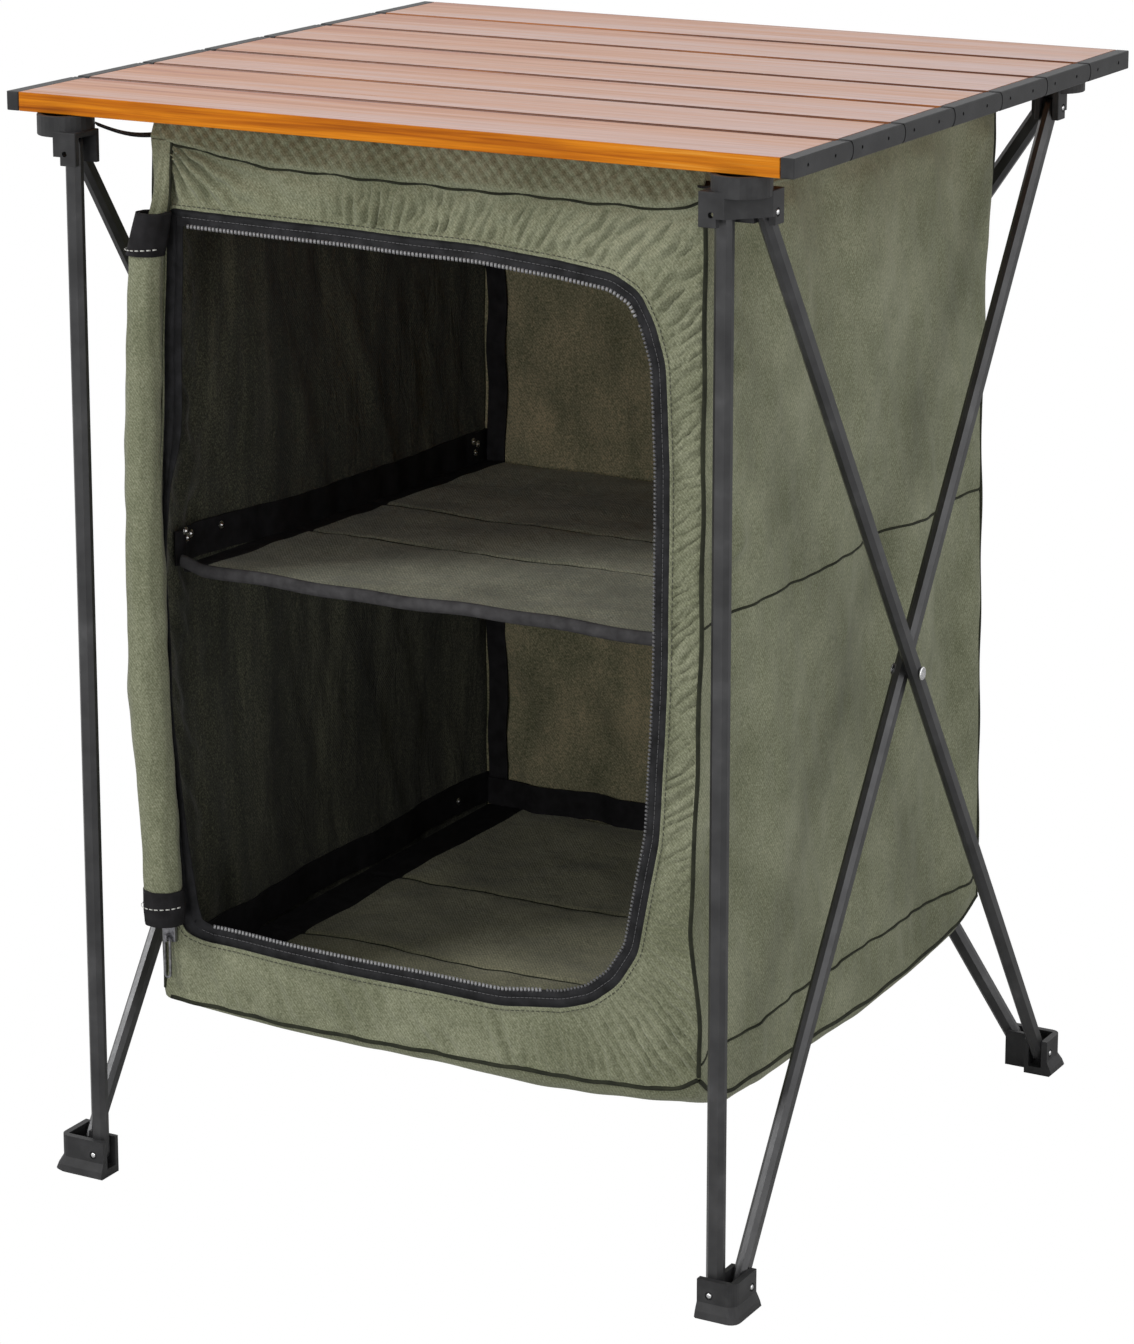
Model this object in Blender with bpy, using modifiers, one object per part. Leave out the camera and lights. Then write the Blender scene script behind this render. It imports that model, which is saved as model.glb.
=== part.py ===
"""Folding camping cupboard: roll-up slatted top, scissor frame and a hanging cloth cabinet.

Metres, +Z up. X runs across the front, Y runs from the front to the back, and the ground is Z = 0.
The origin is the middle of the bounding box, on the ground.
"""

import math

import bmesh
import bpy
from mathutils import Matrix, Vector

# Overall sizes
WIDTH = 0.500
DEPTH = 0.468
HEIGHT = 0.655
CLEAR = 0.0003

# Tabletop: slats side by side, with moulded caps on both ends that hinge on each other
SLATS = 7
SLAT_THICK = 0.011
SLAT_GAP = 0.0008
SLAT_BEVEL = 0.0028
CAP_LENGTH = 0.008
CAP_EDGE = 0.0004
KNUCKLE_CLEAR = 0.0004
KNUCKLE_SINK = 0.0002
PIVOT_RADIUS = 0.0016
SCREW_RADIUS = 0.0011
SCREW_DEPTH = 0.0012

# Frame: distance between the two pins of a side, and how far the frame sits from the tabletop's middle
PIN_SPAN = 0.411
TABLE_SETBACK = 0.0095
FOOT_PIN_HEIGHT = 0.014
BRACKET_PIN_DROP = 0.021

# Eight-sided tube of the bars and struts
BAR_WIDTH = 0.0105
BAR_THICK = 0.0080
BAR_CORNER = 0.0025
BAR_WALL = 0.0012
BAR_GAP = 0.0005
STRUT_SPAN = 0.415

# Moulded corners
WALL = 0.0040
INNER_WALL = 0.0030
END_ROOM = 0.0006
BRACKET_REACH_IN = 0.0075
FOOT_REACH_IN = 0.0055
CUP_SPAN = 0.431
CUP_RADIUS = 0.0165
CUP_WALL = 0.0026
CUP_HEIGHT = 0.0120
CUP_DEPTH = 0.0080
EAR_DROP = 0.0087
EAR_HEIGHT = 0.0192
EAR_ROOF = 0.0030
EAR_STEP = 0.0050
EAR_STEP_IN = 0.0030
FOOT_HEIGHT = 0.0230
FOOT_FLOOR = 0.0050
FOOT_FLARE = 0.0033
FLARE_HEIGHT = 0.0095
FOOT_EDGE = 0.0015
FOOT_CORNER = 0.0060

# Rivets
RIVET_RADIUS = 0.0014
RIVET_SINK = 0.0004
COUNTERBORE = 0.0025
COUNTERBORE_DEPTH = 0.0008
CENTRE_RADIUS = 0.0020
HEAD_RADIUS = 0.0040
HEAD_HEIGHT = 0.0013

# Cloth cabinet, measured from the frame's middle
BAG_HALF_WIDTH = 0.1805
BAG_FRONT = 0.1885
BAG_BACK = 0.2005
BAG_TOP_DROP = 0.0280
BAG_BOTTOM_HEIGHT = 0.1150
CLOTH = 0.0015
TOP_HEM = 0.0320

# Door opening in the front panel and the zip tape around it
DOOR_LEFT = 0.1680
DOOR_RIGHT = 0.1520
DOOR_TOP_DROP = 0.0750
DOOR_SILL = 0.0400
DOOR_TOP_CORNER = 0.0600
DOOR_BOTTOM_CORNER = 0.0950
DOOR_SMALL_CORNER = 0.0040
TAPE_WIDTH = 0.0090
TAPE_THICK = 0.0010

# Rolled door at the left of the opening
ROLL_RADIUS = 0.0105
ROLL_X = 0.1750
ROLL_TOP_DROP = 0.0940
ROLL_SILL = 0.0610
HEM_TOP = 0.0240
HEM_BOTTOM = 0.0110
HEM_WALL = 0.0016
HEM_MOUTH = 0.0160

# Zip slider and pull
SLIDER_START = 0.1730
SLIDER_SIZE = Vector((0.0090, 0.0024, 0.0110))
LUG_WIDTH = 0.0016
LUG_HOLE = 0.0014
LUG_WALL = 0.0008
PULL_SIZE = Vector((0.0050, 0.0012, 0.0260))
PULL_WIRE = 0.0012

# Boards, webbing and straps
SHELF_DROP = 0.2840
SHELF_FRONT = 0.0220
BOARD_THICK = 0.0040
WEB_HEIGHT = 0.0210
WEB_THICK = 0.0014
WEB_TOP_DROP = 0.0500
STRAP_WIDTH = 0.0120
STRAP_THICK = 0.0014
STRAP_LAP = 0.0120
STRAP_RISE = 0.0030

ROUND = 32
SMALL_ROUND = 12

# Heights and places that follow from the sizes above
PITCH = DEPTH / SLATS
CUP_TOP = HEIGHT - SLAT_THICK - CLEAR
EAR_TOP = CUP_TOP - EAR_DROP
EAR_BOTTOM = EAR_TOP - EAR_HEIGHT
TOP_PIN = CUP_TOP - BRACKET_PIN_DROP
PIN = PIN_SPAN / 2
STRUT = STRUT_SPAN / 2
INNER_PLANE = PIN + BAR_WIDTH / 2 + CLEAR + BAR_THICK / 2
OUTER_PLANE = INNER_PLANE + BAR_THICK + BAR_GAP
MIDDLE_PLANE = (INNER_PLANE + OUTER_PLANE) / 2
HALF_SLOT = BAR_THICK / 2 + CLEAR
WIDE_SLOT = HALF_SLOT + (OUTER_PLANE - INNER_PLANE) / 2
SLOT_STOP = PIN + BAR_WIDTH / 2 + END_ROOM
RIVET_HOLE = RIVET_RADIUS + CLEAR
CENTRE_HOLE = CENTRE_RADIUS + CLEAR
FRAME_FRONT = max(CUP_SPAN / 2 + CUP_RADIUS, MIDDLE_PLANE + WIDE_SLOT + WALL,
                  MIDDLE_PLANE + HALF_SLOT + WALL + FOOT_FLARE)
FRAME_Y = (FRAME_FRONT - DEPTH / 2 - TABLE_SETBACK) / 2
TABLE_Y = FRAME_Y + TABLE_SETBACK
TABLE_FRONT = TABLE_Y - DEPTH / 2
HINGE_Z = HEIGHT - SLAT_THICK / 2
BAG_TOP = HEIGHT - BAG_TOP_DROP
BAG_FRONT_Y = FRAME_Y - BAG_FRONT
BAG_BACK_Y = FRAME_Y + BAG_BACK
INSIDE_X = BAG_HALF_WIDTH - CLOTH
INSIDE_FRONT = BAG_FRONT_Y + CLOTH
INSIDE_BACK = BAG_BACK_Y - CLOTH
FLOOR = BAG_BOTTOM_HEIGHT + CLOTH
FLOOR_BOARD_TOP = FLOOR + CLEAR + BOARD_THICK
SHELF_TOP = HEIGHT - SHELF_DROP

RIGHT, LEFT = 1, -1
FRONT, REAR = -1, 1

MATERIALS = {
    "wood": ((0.62, 0.41, 0.25), 0.35, 0.0),
    "moulded": ((0.045, 0.045, 0.050), 0.55, 0.0),
    "tube": ((0.050, 0.050, 0.055), 0.38, 0.8),
    "rivet": ((0.72, 0.72, 0.74), 0.25, 1.0),
    "canvas": ((0.20, 0.20, 0.13), 0.90, 0.0),
    "webbing": ((0.020, 0.020, 0.022), 0.80, 0.0),
    "board": ((0.23, 0.23, 0.17), 0.85, 0.0),
    "zip_metal": ((0.30, 0.30, 0.32), 0.35, 1.0),
}


def clear_scene():
    for thing in list(bpy.data.objects):
        bpy.data.objects.remove(thing, do_unlink=True)


def new_collection(name):
    home = bpy.data.collections.new(name)
    bpy.context.scene.collection.children.link(home)
    return home


def make_material(name):
    colour, roughness, metallic = MATERIALS[name]
    material = bpy.data.materials.new(name)
    material.use_nodes = True
    surface = material.node_tree.nodes["Principled BSDF"]
    surface.inputs["Base Color"].default_value = (*colour, 1.0)
    surface.inputs["Roughness"].default_value = roughness
    surface.inputs["Metallic"].default_value = metallic
    material.diffuse_color = (*colour, 1.0)
    return material


def mesh_object(name, work):
    mesh = bpy.data.meshes.new(name)
    work.to_mesh(mesh)
    work.free()
    thing = bpy.data.objects.new(name, mesh)
    CUTTERS.objects.link(thing)
    thing.hide_render = True
    thing.display_type = "WIRE"
    return thing


def box(low, high, name="block"):
    low, high = Vector(low), Vector(high)
    start = Vector(map(min, low, high))
    size = Vector(map(max, low, high)) - start
    work = bmesh.new()
    bmesh.ops.create_cube(work, size=1.0)
    bmesh.ops.scale(work, vec=size, verts=work.verts)
    bmesh.ops.translate(work, vec=start + size / 2, verts=work.verts)
    return mesh_object(name, work)


def rod(start, end, radius, sides=SMALL_ROUND, name="rod"):
    start, end = Vector(start), Vector(end)
    along = end - start
    place = Matrix.Translation((start + end) / 2) @ along.to_track_quat("Z", "Y").to_matrix().to_4x4()
    work = bmesh.new()
    bmesh.ops.create_cone(work, cap_ends=True, segments=sides, radius1=radius, radius2=radius,
                          depth=along.length, matrix=place)
    return mesh_object(name, work)


def placed_axes(origin, first, second):
    """A matrix that lays local X along first, Y along second and Z along their product."""
    first, second = Vector(first).normalized(), Vector(second).normalized()
    turn = Matrix((first, second, first.cross(second))).transposed()
    return Matrix.Translation(origin) @ turn.to_4x4()


def prism(outlines, length, place, name="prism"):
    """Flat outlines, the later ones holes in the first, drawn out along the placed Z axis."""
    curve = bpy.data.curves.new(name, "CURVE")
    curve.dimensions = "2D"
    curve.fill_mode = "BOTH"
    curve.extrude = length / 2
    for outline in outlines:
        spline = curve.splines.new("POLY")
        spline.points.add(len(outline) - 1)
        for point, (u, v) in zip(spline.points, outline):
            point.co = (u, v, 0.0, 1.0)
        spline.use_cyclic_u = True
    drawn = bpy.data.objects.new(name, curve)
    CUTTERS.objects.link(drawn)
    bpy.context.view_layer.update()
    mesh = bpy.data.meshes.new_from_object(drawn.evaluated_get(bpy.context.evaluated_depsgraph_get()))
    bpy.data.objects.remove(drawn, do_unlink=True)
    work = bmesh.new()
    work.from_mesh(mesh)
    bpy.data.meshes.remove(mesh)
    bmesh.ops.remove_doubles(work, verts=work.verts, dist=1e-6)
    bmesh.ops.transform(work, matrix=place, verts=work.verts)
    bmesh.ops.recalc_face_normals(work, faces=work.faces)
    return mesh_object(name, work)


def arc(centre, radius, start, end, steps):
    """Points from the start angle to the end angle, in degrees."""
    turns = [math.radians(start + (end - start) * step / steps) for step in range(steps + 1)]
    return [(centre[0] + radius * math.cos(turn), centre[1] + radius * math.sin(turn)) for turn in turns]


def add_boolean(thing, tool, operation):
    cut = thing.modifiers.new(operation.lower(), "BOOLEAN")
    cut.operation = operation
    cut.object = tool
    cut.solver = "EXACT"
    return thing


def cut_away(thing, *tools):
    for tool in tools:
        add_boolean(thing, tool, "DIFFERENCE")
    return thing


def join_to(thing, *tools):
    for tool in tools:
        add_boolean(thing, tool, "UNION")
    return thing


def settled(thing):
    """The object with its modifiers applied."""
    bpy.context.view_layer.update()
    seen = thing.evaluated_get(bpy.context.evaluated_depsgraph_get())
    mesh = bpy.data.meshes.new_from_object(seen)
    tools = [step.object for step in thing.modifiers if step.type == "BOOLEAN"]
    thing.modifiers.clear()
    thing.data = mesh
    for tool in tools:
        bpy.data.objects.remove(tool, do_unlink=True)
    return thing


def soften(thing, width):
    edge = thing.modifiers.new("soften", "BEVEL")
    edge.width = width
    edge.segments = 1
    edge.limit_method = "ANGLE"
    edge.angle_limit = math.radians(50)
    return thing


def finish(thing, name, material, pivot=(0.0, 0.0, 0.0)):
    """Names a piece, gives it its material and puts its origin on its pivot."""
    settled(thing)
    mesh = thing.data
    mesh.transform(Matrix.Translation(-Vector(pivot)))
    thing.location = pivot
    thing.name = name
    mesh.name = name
    mesh.materials.clear()
    mesh.materials.append(PALETTE[material])
    mesh.shade_smooth()
    mesh.set_sharp_from_angle(angle=math.radians(35))
    CUTTERS.objects.unlink(thing)
    PARTS.objects.link(thing)
    thing.hide_render = False
    thing.display_type = "TEXTURED"
    return thing


# Tabletop

def hinge_y(index):
    """Where a slat meets the next one; slats count from the front, starting at 1."""
    return TABLE_FRONT + PITCH * index


def slat_outline(index):
    """Side view of a slat: the upper edges lean back where it has a neighbour, so that it can fold up."""
    front, back = hinge_y(index - 1), hinge_y(index)
    low, high = HEIGHT - SLAT_THICK, HEIGHT
    front_edge, back_edge = [(front, high), (front, low)], [(back, low), (back, high)]
    if index > 1:
        front += SLAT_GAP / 2
        front_edge = [(front + SLAT_BEVEL, high), (front, HINGE_Z), (front, low)]
    if index < SLATS:
        back -= SLAT_GAP / 2
        back_edge = [(back, low), (back, HINGE_Z), (back - SLAT_BEVEL, high)]
    return front_edge + back_edge


def slat_pivot(index):
    return (0.0, hinge_y(index if index < SLATS else SLATS - 1), HINGE_Z)


def make_slat(index):
    length = WIDTH - 2 * (CAP_LENGTH + CLEAR)
    board = prism([slat_outline(index)], length, placed_axes((0, 0, 0), (0, 1, 0), (0, 0, 1)))
    return finish(soften(board, CAP_EDGE), f"slat_{index}", "wood", slat_pivot(index))


def end_cap(index, side):
    """One cap: a front knuckle near the slat, and a rear knuckle with a pivot near the outside."""
    inside, outside = side * (WIDTH / 2 - CAP_LENGTH), side * WIDTH / 2
    middle = (inside + outside) / 2
    inner_layer, outer_layer = middle - side * CLEAR / 2, middle + side * CLEAR / 2
    past = outside + side * CLEAR
    radius = SLAT_THICK / 2 - KNUCKLE_SINK
    room = SLAT_THICK / 2 + KNUCKLE_CLEAR
    place = placed_axes(((inside + outside) / 2, 0, 0), (0, 1, 0), (0, 0, 1))
    cap = soften(prism([slat_outline(index)], CAP_LENGTH, place), CAP_EDGE)
    quarter = PITCH / 4
    for spot in (hinge_y(index) - quarter, hinge_y(index - 1) + quarter):
        cut_away(cap, rod((outside - side * SCREW_DEPTH, spot, HINGE_Z), (past, spot, HINGE_Z), SCREW_RADIUS, 8))
    start, stop = inside + side * KNUCKLE_SINK, outside - side * KNUCKLE_SINK
    if index > 1:
        y = hinge_y(index - 1)
        join_to(cap, rod((start, y, HINGE_Z), (middle, y, HINGE_Z), radius, 24))
        cut_away(cap, rod((inner_layer, y, HINGE_Z), (past, y, HINGE_Z), room, 24))
        cut_away(cap, rod((inside - side * CLEAR, y, HINGE_Z), (middle, y, HINGE_Z), PIVOT_RADIUS + CLEAR))
    if index < SLATS:
        y = hinge_y(index)
        join_to(cap, rod((middle, y, HINGE_Z), (stop, y, HINGE_Z), radius, 24))
        cut_away(cap, rod((inside - side * CLEAR, y, HINGE_Z), (outer_layer, y, HINGE_Z), room, 24))
        join_to(cap, rod((start, y, HINGE_Z), (outside - side * SCREW_DEPTH, y, HINGE_Z), PIVOT_RADIUS))
    return cap


def make_end_caps(index):
    for side, word in ((LEFT, "left"), (RIGHT, "right")):
        finish(end_cap(index, side), f"end_cap_{word}_{index}", "moulded", slat_pivot(index))


# Moulded corners: brackets on top and feet below, each with a slot across and a slot front to back

def corner_point(side, end, x, y, z):
    """A point given by its distances from the frame's middle."""
    return Vector((side * x, FRAME_Y + end * y, z))


def corner_outline(reach_in, across, along, grow, corner):
    """Plan of a corner in distances from the frame's middle; corner is the outer corner's points."""
    start = PIN - reach_in
    x_out = along[0] + along[1] + WALL + grow
    y_out = across[0] + across[1] + WALL + grow
    x_in = along[0] - along[1] - INNER_WALL
    y_in = across[0] - across[1] - INNER_WALL
    return [(x_in, y_in), (start, y_in), (start, y_out), *corner(x_out, y_out), (x_out, start), (x_in, start)]


def slanted_corner(stops):
    """A corner cut off between the ends of the two slots."""
    return lambda x_out, y_out: [(stops[0], y_out), (x_out, stops[1])]


def round_corner(x_out, y_out):
    return arc((x_out - FOOT_CORNER, y_out - FOOT_CORNER), FOOT_CORNER, 90, 0, 5)


def stacked(outlines, heights, side, end):
    """A solid through outlines with the same number of points, one at each height."""
    work = bmesh.new()
    rings = [[work.verts.new(corner_point(side, end, x, y, z)) for x, y in outline]
             for outline, z in zip(outlines, heights)]
    work.faces.new(rings[0])
    work.faces.new(rings[-1])
    for lower, upper in zip(rings, rings[1:]):
        for spot in range(len(lower)):
            work.faces.new((lower[spot - 1], lower[spot], upper[spot], upper[spot - 1]))
    bmesh.ops.recalc_face_normals(work, faces=work.faces)
    return mesh_object("stack", work)


def slot_tools(side, end, reach_in, across, along, stops, low, high):
    """Cutters for the slot across (holds a bar that runs along X) and for the one front to back."""
    start = PIN - reach_in - CLEAR
    return [
        box(corner_point(side, end, start, across[0] - across[1], low),
            corner_point(side, end, stops[0], across[0] + across[1], high)),
        box(corner_point(side, end, along[0] - along[1], start, low),
            corner_point(side, end, along[0] + along[1], stops[1], high)),
    ]


def pin_line(side, end, slot, at, z, crossways):
    """The outer end, the wall's inner end and the direction outwards of a rivet through a slot."""
    outer, inner = slot[0] + slot[1] + WALL, slot[0] - slot[1] - INNER_WALL
    if crossways:
        ends = [corner_point(side, end, at, reach, z) for reach in (outer, inner)]
        return *ends, Vector((0, end, 0))
    ends = [corner_point(side, end, reach, at, z) for reach in (outer, inner)]
    return *ends, Vector((side, 0, 0))


def add_pin(body, line):
    """A pin fixed in both walls of a slot, with its bright end in a counterbore outside."""
    outer, inner, outwards = line
    cut_away(body, rod(outer - outwards * COUNTERBORE_DEPTH, outer + outwards * CLEAR, COUNTERBORE))
    join_to(body, rod(inner + outwards * INNER_WALL / 2, outer - outwards * RIVET_SINK, RIVET_RADIUS))


def corner_slots(side, end, top):
    """The slots of a bracket or a foot, as distance from the frame's middle and half width.

    The first slot holds the bar or strut of the front or back, the second the one of the side.
    """
    across_plane = {(RIGHT, True): OUTER_PLANE, (LEFT, True): INNER_PLANE,
                    (RIGHT, False): INNER_PLANE, (LEFT, False): OUTER_PLANE}[side, top]
    outer_bar = {(RIGHT, FRONT): top, (RIGHT, REAR): not top,
                 (LEFT, FRONT): not top, (LEFT, REAR): top}[side, end]
    along = (OUTER_PLANE if outer_bar else INNER_PLANE, HALF_SLOT)
    if end == REAR:
        return (across_plane, HALF_SLOT), along
    return (MIDDLE_PLANE, WIDE_SLOT if top else HALF_SLOT), along


def corner_name(side, end):
    return f"{'front' if end == FRONT else 'rear'}_{'right' if side == RIGHT else 'left'}"


def make_bracket(side, end):
    """A round cup for the tabletop over two ears, whose slots are open below and towards the middle."""
    across, along = corner_slots(side, end, True)
    stops = (STRUT + BAR_WIDTH / 2 + END_ROOM if end == FRONT else SLOT_STOP, SLOT_STOP)
    outline = corner_outline(BRACKET_REACH_IN, across, along, 0.0, slanted_corner(stops))
    body = stacked([outline, outline], [EAR_BOTTOM, EAR_TOP], side, end)
    soften(body, CAP_EDGE)
    cup = corner_point(side, end, CUP_SPAN / 2, CUP_SPAN / 2, CUP_TOP)
    down = Vector((0, 0, -1))
    join_to(body, soften(rod(cup, cup + down * CUP_HEIGHT, CUP_RADIUS, ROUND), CAP_EDGE))
    cut_away(body, rod(cup - down * CLEAR, cup + down * CUP_DEPTH, CUP_RADIUS - CUP_WALL, ROUND))
    cut_away(body, *slot_tools(side, end, BRACKET_REACH_IN, across, along, stops,
                               EAR_BOTTOM - CLEAR, EAR_TOP - EAR_ROOF))
    step = PIN + EAR_STEP_IN
    far = OUTER_PLANE + WIDE_SLOT + WALL
    cut_away(body, box(corner_point(side, end, step, step, EAR_BOTTOM - CLEAR),
                       corner_point(side, end, far, far, EAR_BOTTOM + EAR_STEP)))
    across_line = pin_line(side, end, across, PIN, TOP_PIN, True)
    add_pin(body, pin_line(side, end, along, PIN, TOP_PIN, False))
    if end == REAR:
        add_pin(body, across_line)
    else:
        outer, _, outwards = across_line
        cut_away(body, rod(outer - outwards * 2 * WALL, outer + outwards * CLEAR, RIVET_HOLE))
    pivot = corner_point(side, end, along[0], PIN, TOP_PIN)
    finish(body, f"bracket_{corner_name(side, end)}", "moulded", pivot)


def make_foot(side, end):
    """A foot with two slots, open above and towards the middle, and a flared base."""
    across, along = corner_slots(side, end, False)
    levels = [(0.0, FOOT_FLARE - FOOT_EDGE), (FOOT_EDGE, FOOT_FLARE), (FLARE_HEIGHT / 2, FOOT_FLARE * 0.7),
              (FLARE_HEIGHT, 0.0), (FOOT_HEIGHT, 0.0)]
    outlines = [corner_outline(FOOT_REACH_IN, across, along, grow, round_corner) for _, grow in levels]
    body = stacked(outlines, [z for z, _ in levels], side, end)
    ends = (along[0] + along[1], across[0] + across[1])
    cut_away(body, *slot_tools(side, end, FOOT_REACH_IN, across, along, ends,
                               FOOT_FLOOR, FOOT_HEIGHT + CLEAR))
    across_at = PIN if end == REAR else STRUT
    add_pin(body, pin_line(side, end, along, PIN, FOOT_PIN_HEIGHT, False))
    add_pin(body, pin_line(side, end, across, across_at, FOOT_PIN_HEIGHT, True))
    pivot = corner_point(side, end, along[0], PIN, FOOT_PIN_HEIGHT)
    finish(body, f"foot_{corner_name(side, end)}", "moulded", pivot)


# Bars and struts

def tube_section(width, thick, corner):
    half_w, half_t = width / 2, thick / 2
    return [(half_w - corner, -half_t), (half_w, corner - half_t), (half_w, half_t - corner),
            (half_w - corner, half_t), (corner - half_w, half_t), (-half_w, half_t - corner),
            (-half_w, corner - half_t), (corner - half_w, -half_t)]


def make_tube(name, low, high, normal, holes):
    """A tube between two points on its middle line, with round ends, drilled along the normal."""
    low, high, normal = Vector(low), Vector(high), Vector(normal)
    middle, along = (low + high) / 2, (high - low).normalized()
    across = normal.cross(along)
    reach = (high - low).length / 2
    radius = BAR_WIDTH / 2
    length = 2 * (reach + radius + CLEAR)
    inner = tube_section(BAR_WIDTH - 2 * BAR_WALL, BAR_THICK - 2 * BAR_WALL, BAR_CORNER - BAR_WALL / 2)
    sections = [tube_section(BAR_WIDTH, BAR_THICK, BAR_CORNER), inner]
    tube = prism(sections, length, placed_axes(middle, across, normal))
    rounded = arc((reach, 0), radius, -90, 90, 8) + arc((-reach, 0), radius, 90, 270, 8)
    add_boolean(tube, prism([rounded], BAR_THICK * 2, placed_axes(middle, along, across)), "INTERSECT")
    for point, hole in holes:
        cut_away(tube, rod(point - normal * BAR_THICK, point + normal * BAR_THICK, hole))
    return finish(tube, name, "tube", low)


def scissor_bar(name, low, high, normal):
    make_tube(name, low, high, normal, [(low, RIVET_HOLE), (high, RIVET_HOLE), ((low + high) / 2, CENTRE_HOLE)])


def centre_rivet(name, outer, inner, outwards):
    """A rivet with two heads through a pair of bars, given the middle lines' crossing points."""
    far, near = outer + outwards * (BAR_THICK / 2 + CLEAR), inner - outwards * (BAR_THICK / 2 + CLEAR)
    head = outwards * HEAD_HEIGHT
    shaft = rod(near - head / 2, far + head / 2, CENTRE_RADIUS)
    join_to(shaft, soften(rod(far, far + head, HEAD_RADIUS, 16), CAP_EDGE),
            soften(rod(near - head, near, HEAD_RADIUS, 16), CAP_EDGE))
    finish(shaft, name, "rivet", outer)


def make_side_bars(side):
    """The crossed bars of one side: on the right the one from the front bracket is outside."""
    word = "right" if side == RIGHT else "left"
    normal = Vector((side, 0, 0))
    planes = {}
    for end in (FRONT, REAR):
        plane = corner_slots(side, end, True)[1][0]
        low = corner_point(side, -end, plane, PIN, FOOT_PIN_HEIGHT)
        high = corner_point(side, end, plane, PIN, TOP_PIN)
        place = "outer" if plane == OUTER_PLANE else "inner"
        scissor_bar(f"bar_{word}_{place}", low, high, normal)
        planes[place] = (low + high) / 2
    centre_rivet(f"centre_rivet_{word}", planes["outer"], planes["inner"], normal)


def make_back_bars():
    """The crossed bars of the back: the one from the right bracket is outside."""
    normal = Vector((0, REAR, 0))
    planes = {}
    for side in (RIGHT, LEFT):
        plane = corner_slots(side, REAR, True)[0][0]
        low = corner_point(-side, REAR, PIN, plane, FOOT_PIN_HEIGHT)
        high = corner_point(side, REAR, PIN, plane, TOP_PIN)
        place = "outer" if plane == OUTER_PLANE else "inner"
        scissor_bar(f"bar_back_{place}", low, high, normal)
        planes[place] = (low + high) / 2
    centre_rivet("centre_rivet_back", planes["outer"], planes["inner"], normal)


def make_strut(side):
    """An upright tube pinned in the foot, whose round top end stands free in the bracket's ear."""
    low = corner_point(side, FRONT, STRUT, MIDDLE_PLANE, FOOT_PIN_HEIGHT)
    high = low.copy()
    high.z = EAR_TOP - EAR_ROOF - CLEAR - BAR_WIDTH / 2
    name = f"strut_front_{'right' if side == RIGHT else 'left'}"
    make_tube(name, low, high, (0, FRONT, 0), [(low, RIVET_HOLE)])


# Cloth cabinet

def door_outline(margin):
    """The door opening in the front panel, grown outwards by a margin; its left corners stay small."""
    left, right = -DOOR_LEFT - margin, DOOR_RIGHT + margin
    top, bottom = HEIGHT - DOOR_TOP_DROP + margin, BAG_BOTTOM_HEIGHT + DOOR_SILL - margin
    corners = [((right, top), DOOR_TOP_CORNER + margin, (-1, -1), 90),
               ((right, bottom), DOOR_BOTTOM_CORNER + margin, (-1, 1), 0),
               ((left, bottom), DOOR_SMALL_CORNER, (1, 1), -90),
               ((left, top), DOOR_SMALL_CORNER, (1, -1), -180)]
    points = []
    for (x, z), radius, (step_x, step_z), start in corners:
        centre = (x + step_x * radius, z + step_z * radius)
        points += arc(centre, radius, start, start - 90, 8 if radius > DOOR_SMALL_CORNER else 2)
    return points


def front_facing(y):
    """Axes for an outline in X and Z at a given Y."""
    return placed_axes((0, y, 0), (1, 0, 0), (0, 0, 1))


def make_bag_panels():
    """Five sewn panels; the top is open under the tabletop, with a hem turned in all round."""
    front = box((-BAG_HALF_WIDTH, BAG_FRONT_Y, BAG_BOTTOM_HEIGHT), (BAG_HALF_WIDTH, INSIDE_FRONT, BAG_TOP))
    cut_away(front, prism([door_outline(0.0)], CLOTH * 4, front_facing(BAG_FRONT_Y)))
    finish(front, "bag_front", "canvas")
    back = box((-BAG_HALF_WIDTH, INSIDE_BACK, BAG_BOTTOM_HEIGHT), (BAG_HALF_WIDTH, BAG_BACK_Y, BAG_TOP))
    finish(back, "bag_back", "canvas")
    start, stop = INSIDE_FRONT + CLEAR, INSIDE_BACK - CLEAR
    for side, word in ((LEFT, "left"), (RIGHT, "right")):
        wall = box((side * INSIDE_X, start, BAG_BOTTOM_HEIGHT), (side * BAG_HALF_WIDTH, stop, BAG_TOP))
        finish(wall, f"bag_{word}", "canvas")
    reach = INSIDE_X - CLEAR
    finish(box((-reach, start, BAG_BOTTOM_HEIGHT), (reach, stop, FLOOR)), "bag_bottom", "canvas")
    hem = box((-reach, start, BAG_TOP - CLOTH), (reach, stop, BAG_TOP))
    cut_away(hem, box((TOP_HEM - reach, start + TOP_HEM, BAG_TOP - CLOTH * 2),
                      (reach - TOP_HEM, stop - TOP_HEM, BAG_TOP + CLOTH)))
    join_to(hem, *[strap(side, end) for side in (LEFT, RIGHT) for end in (FRONT, REAR)])
    finish(hem, "top_hem_and_straps", "canvas")


def make_boards():
    """The shelf hangs in its webbing, and the floor board lies on the bottom panel inside its band."""
    reach, back = INSIDE_X - WEB_THICK - 2 * CLEAR, INSIDE_BACK - WEB_THICK - 2 * CLEAR
    shelf = box((-reach, BAG_FRONT_Y + SHELF_FRONT, SHELF_TOP - BOARD_THICK), (reach, back, SHELF_TOP))
    finish(shelf, "shelf_board", "board")
    floor = box((-reach, INSIDE_FRONT + CLEAR, FLOOR + CLEAR), (reach, back, FLOOR_BOARD_TOP))
    finish(floor, "floor_board", "board")


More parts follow.
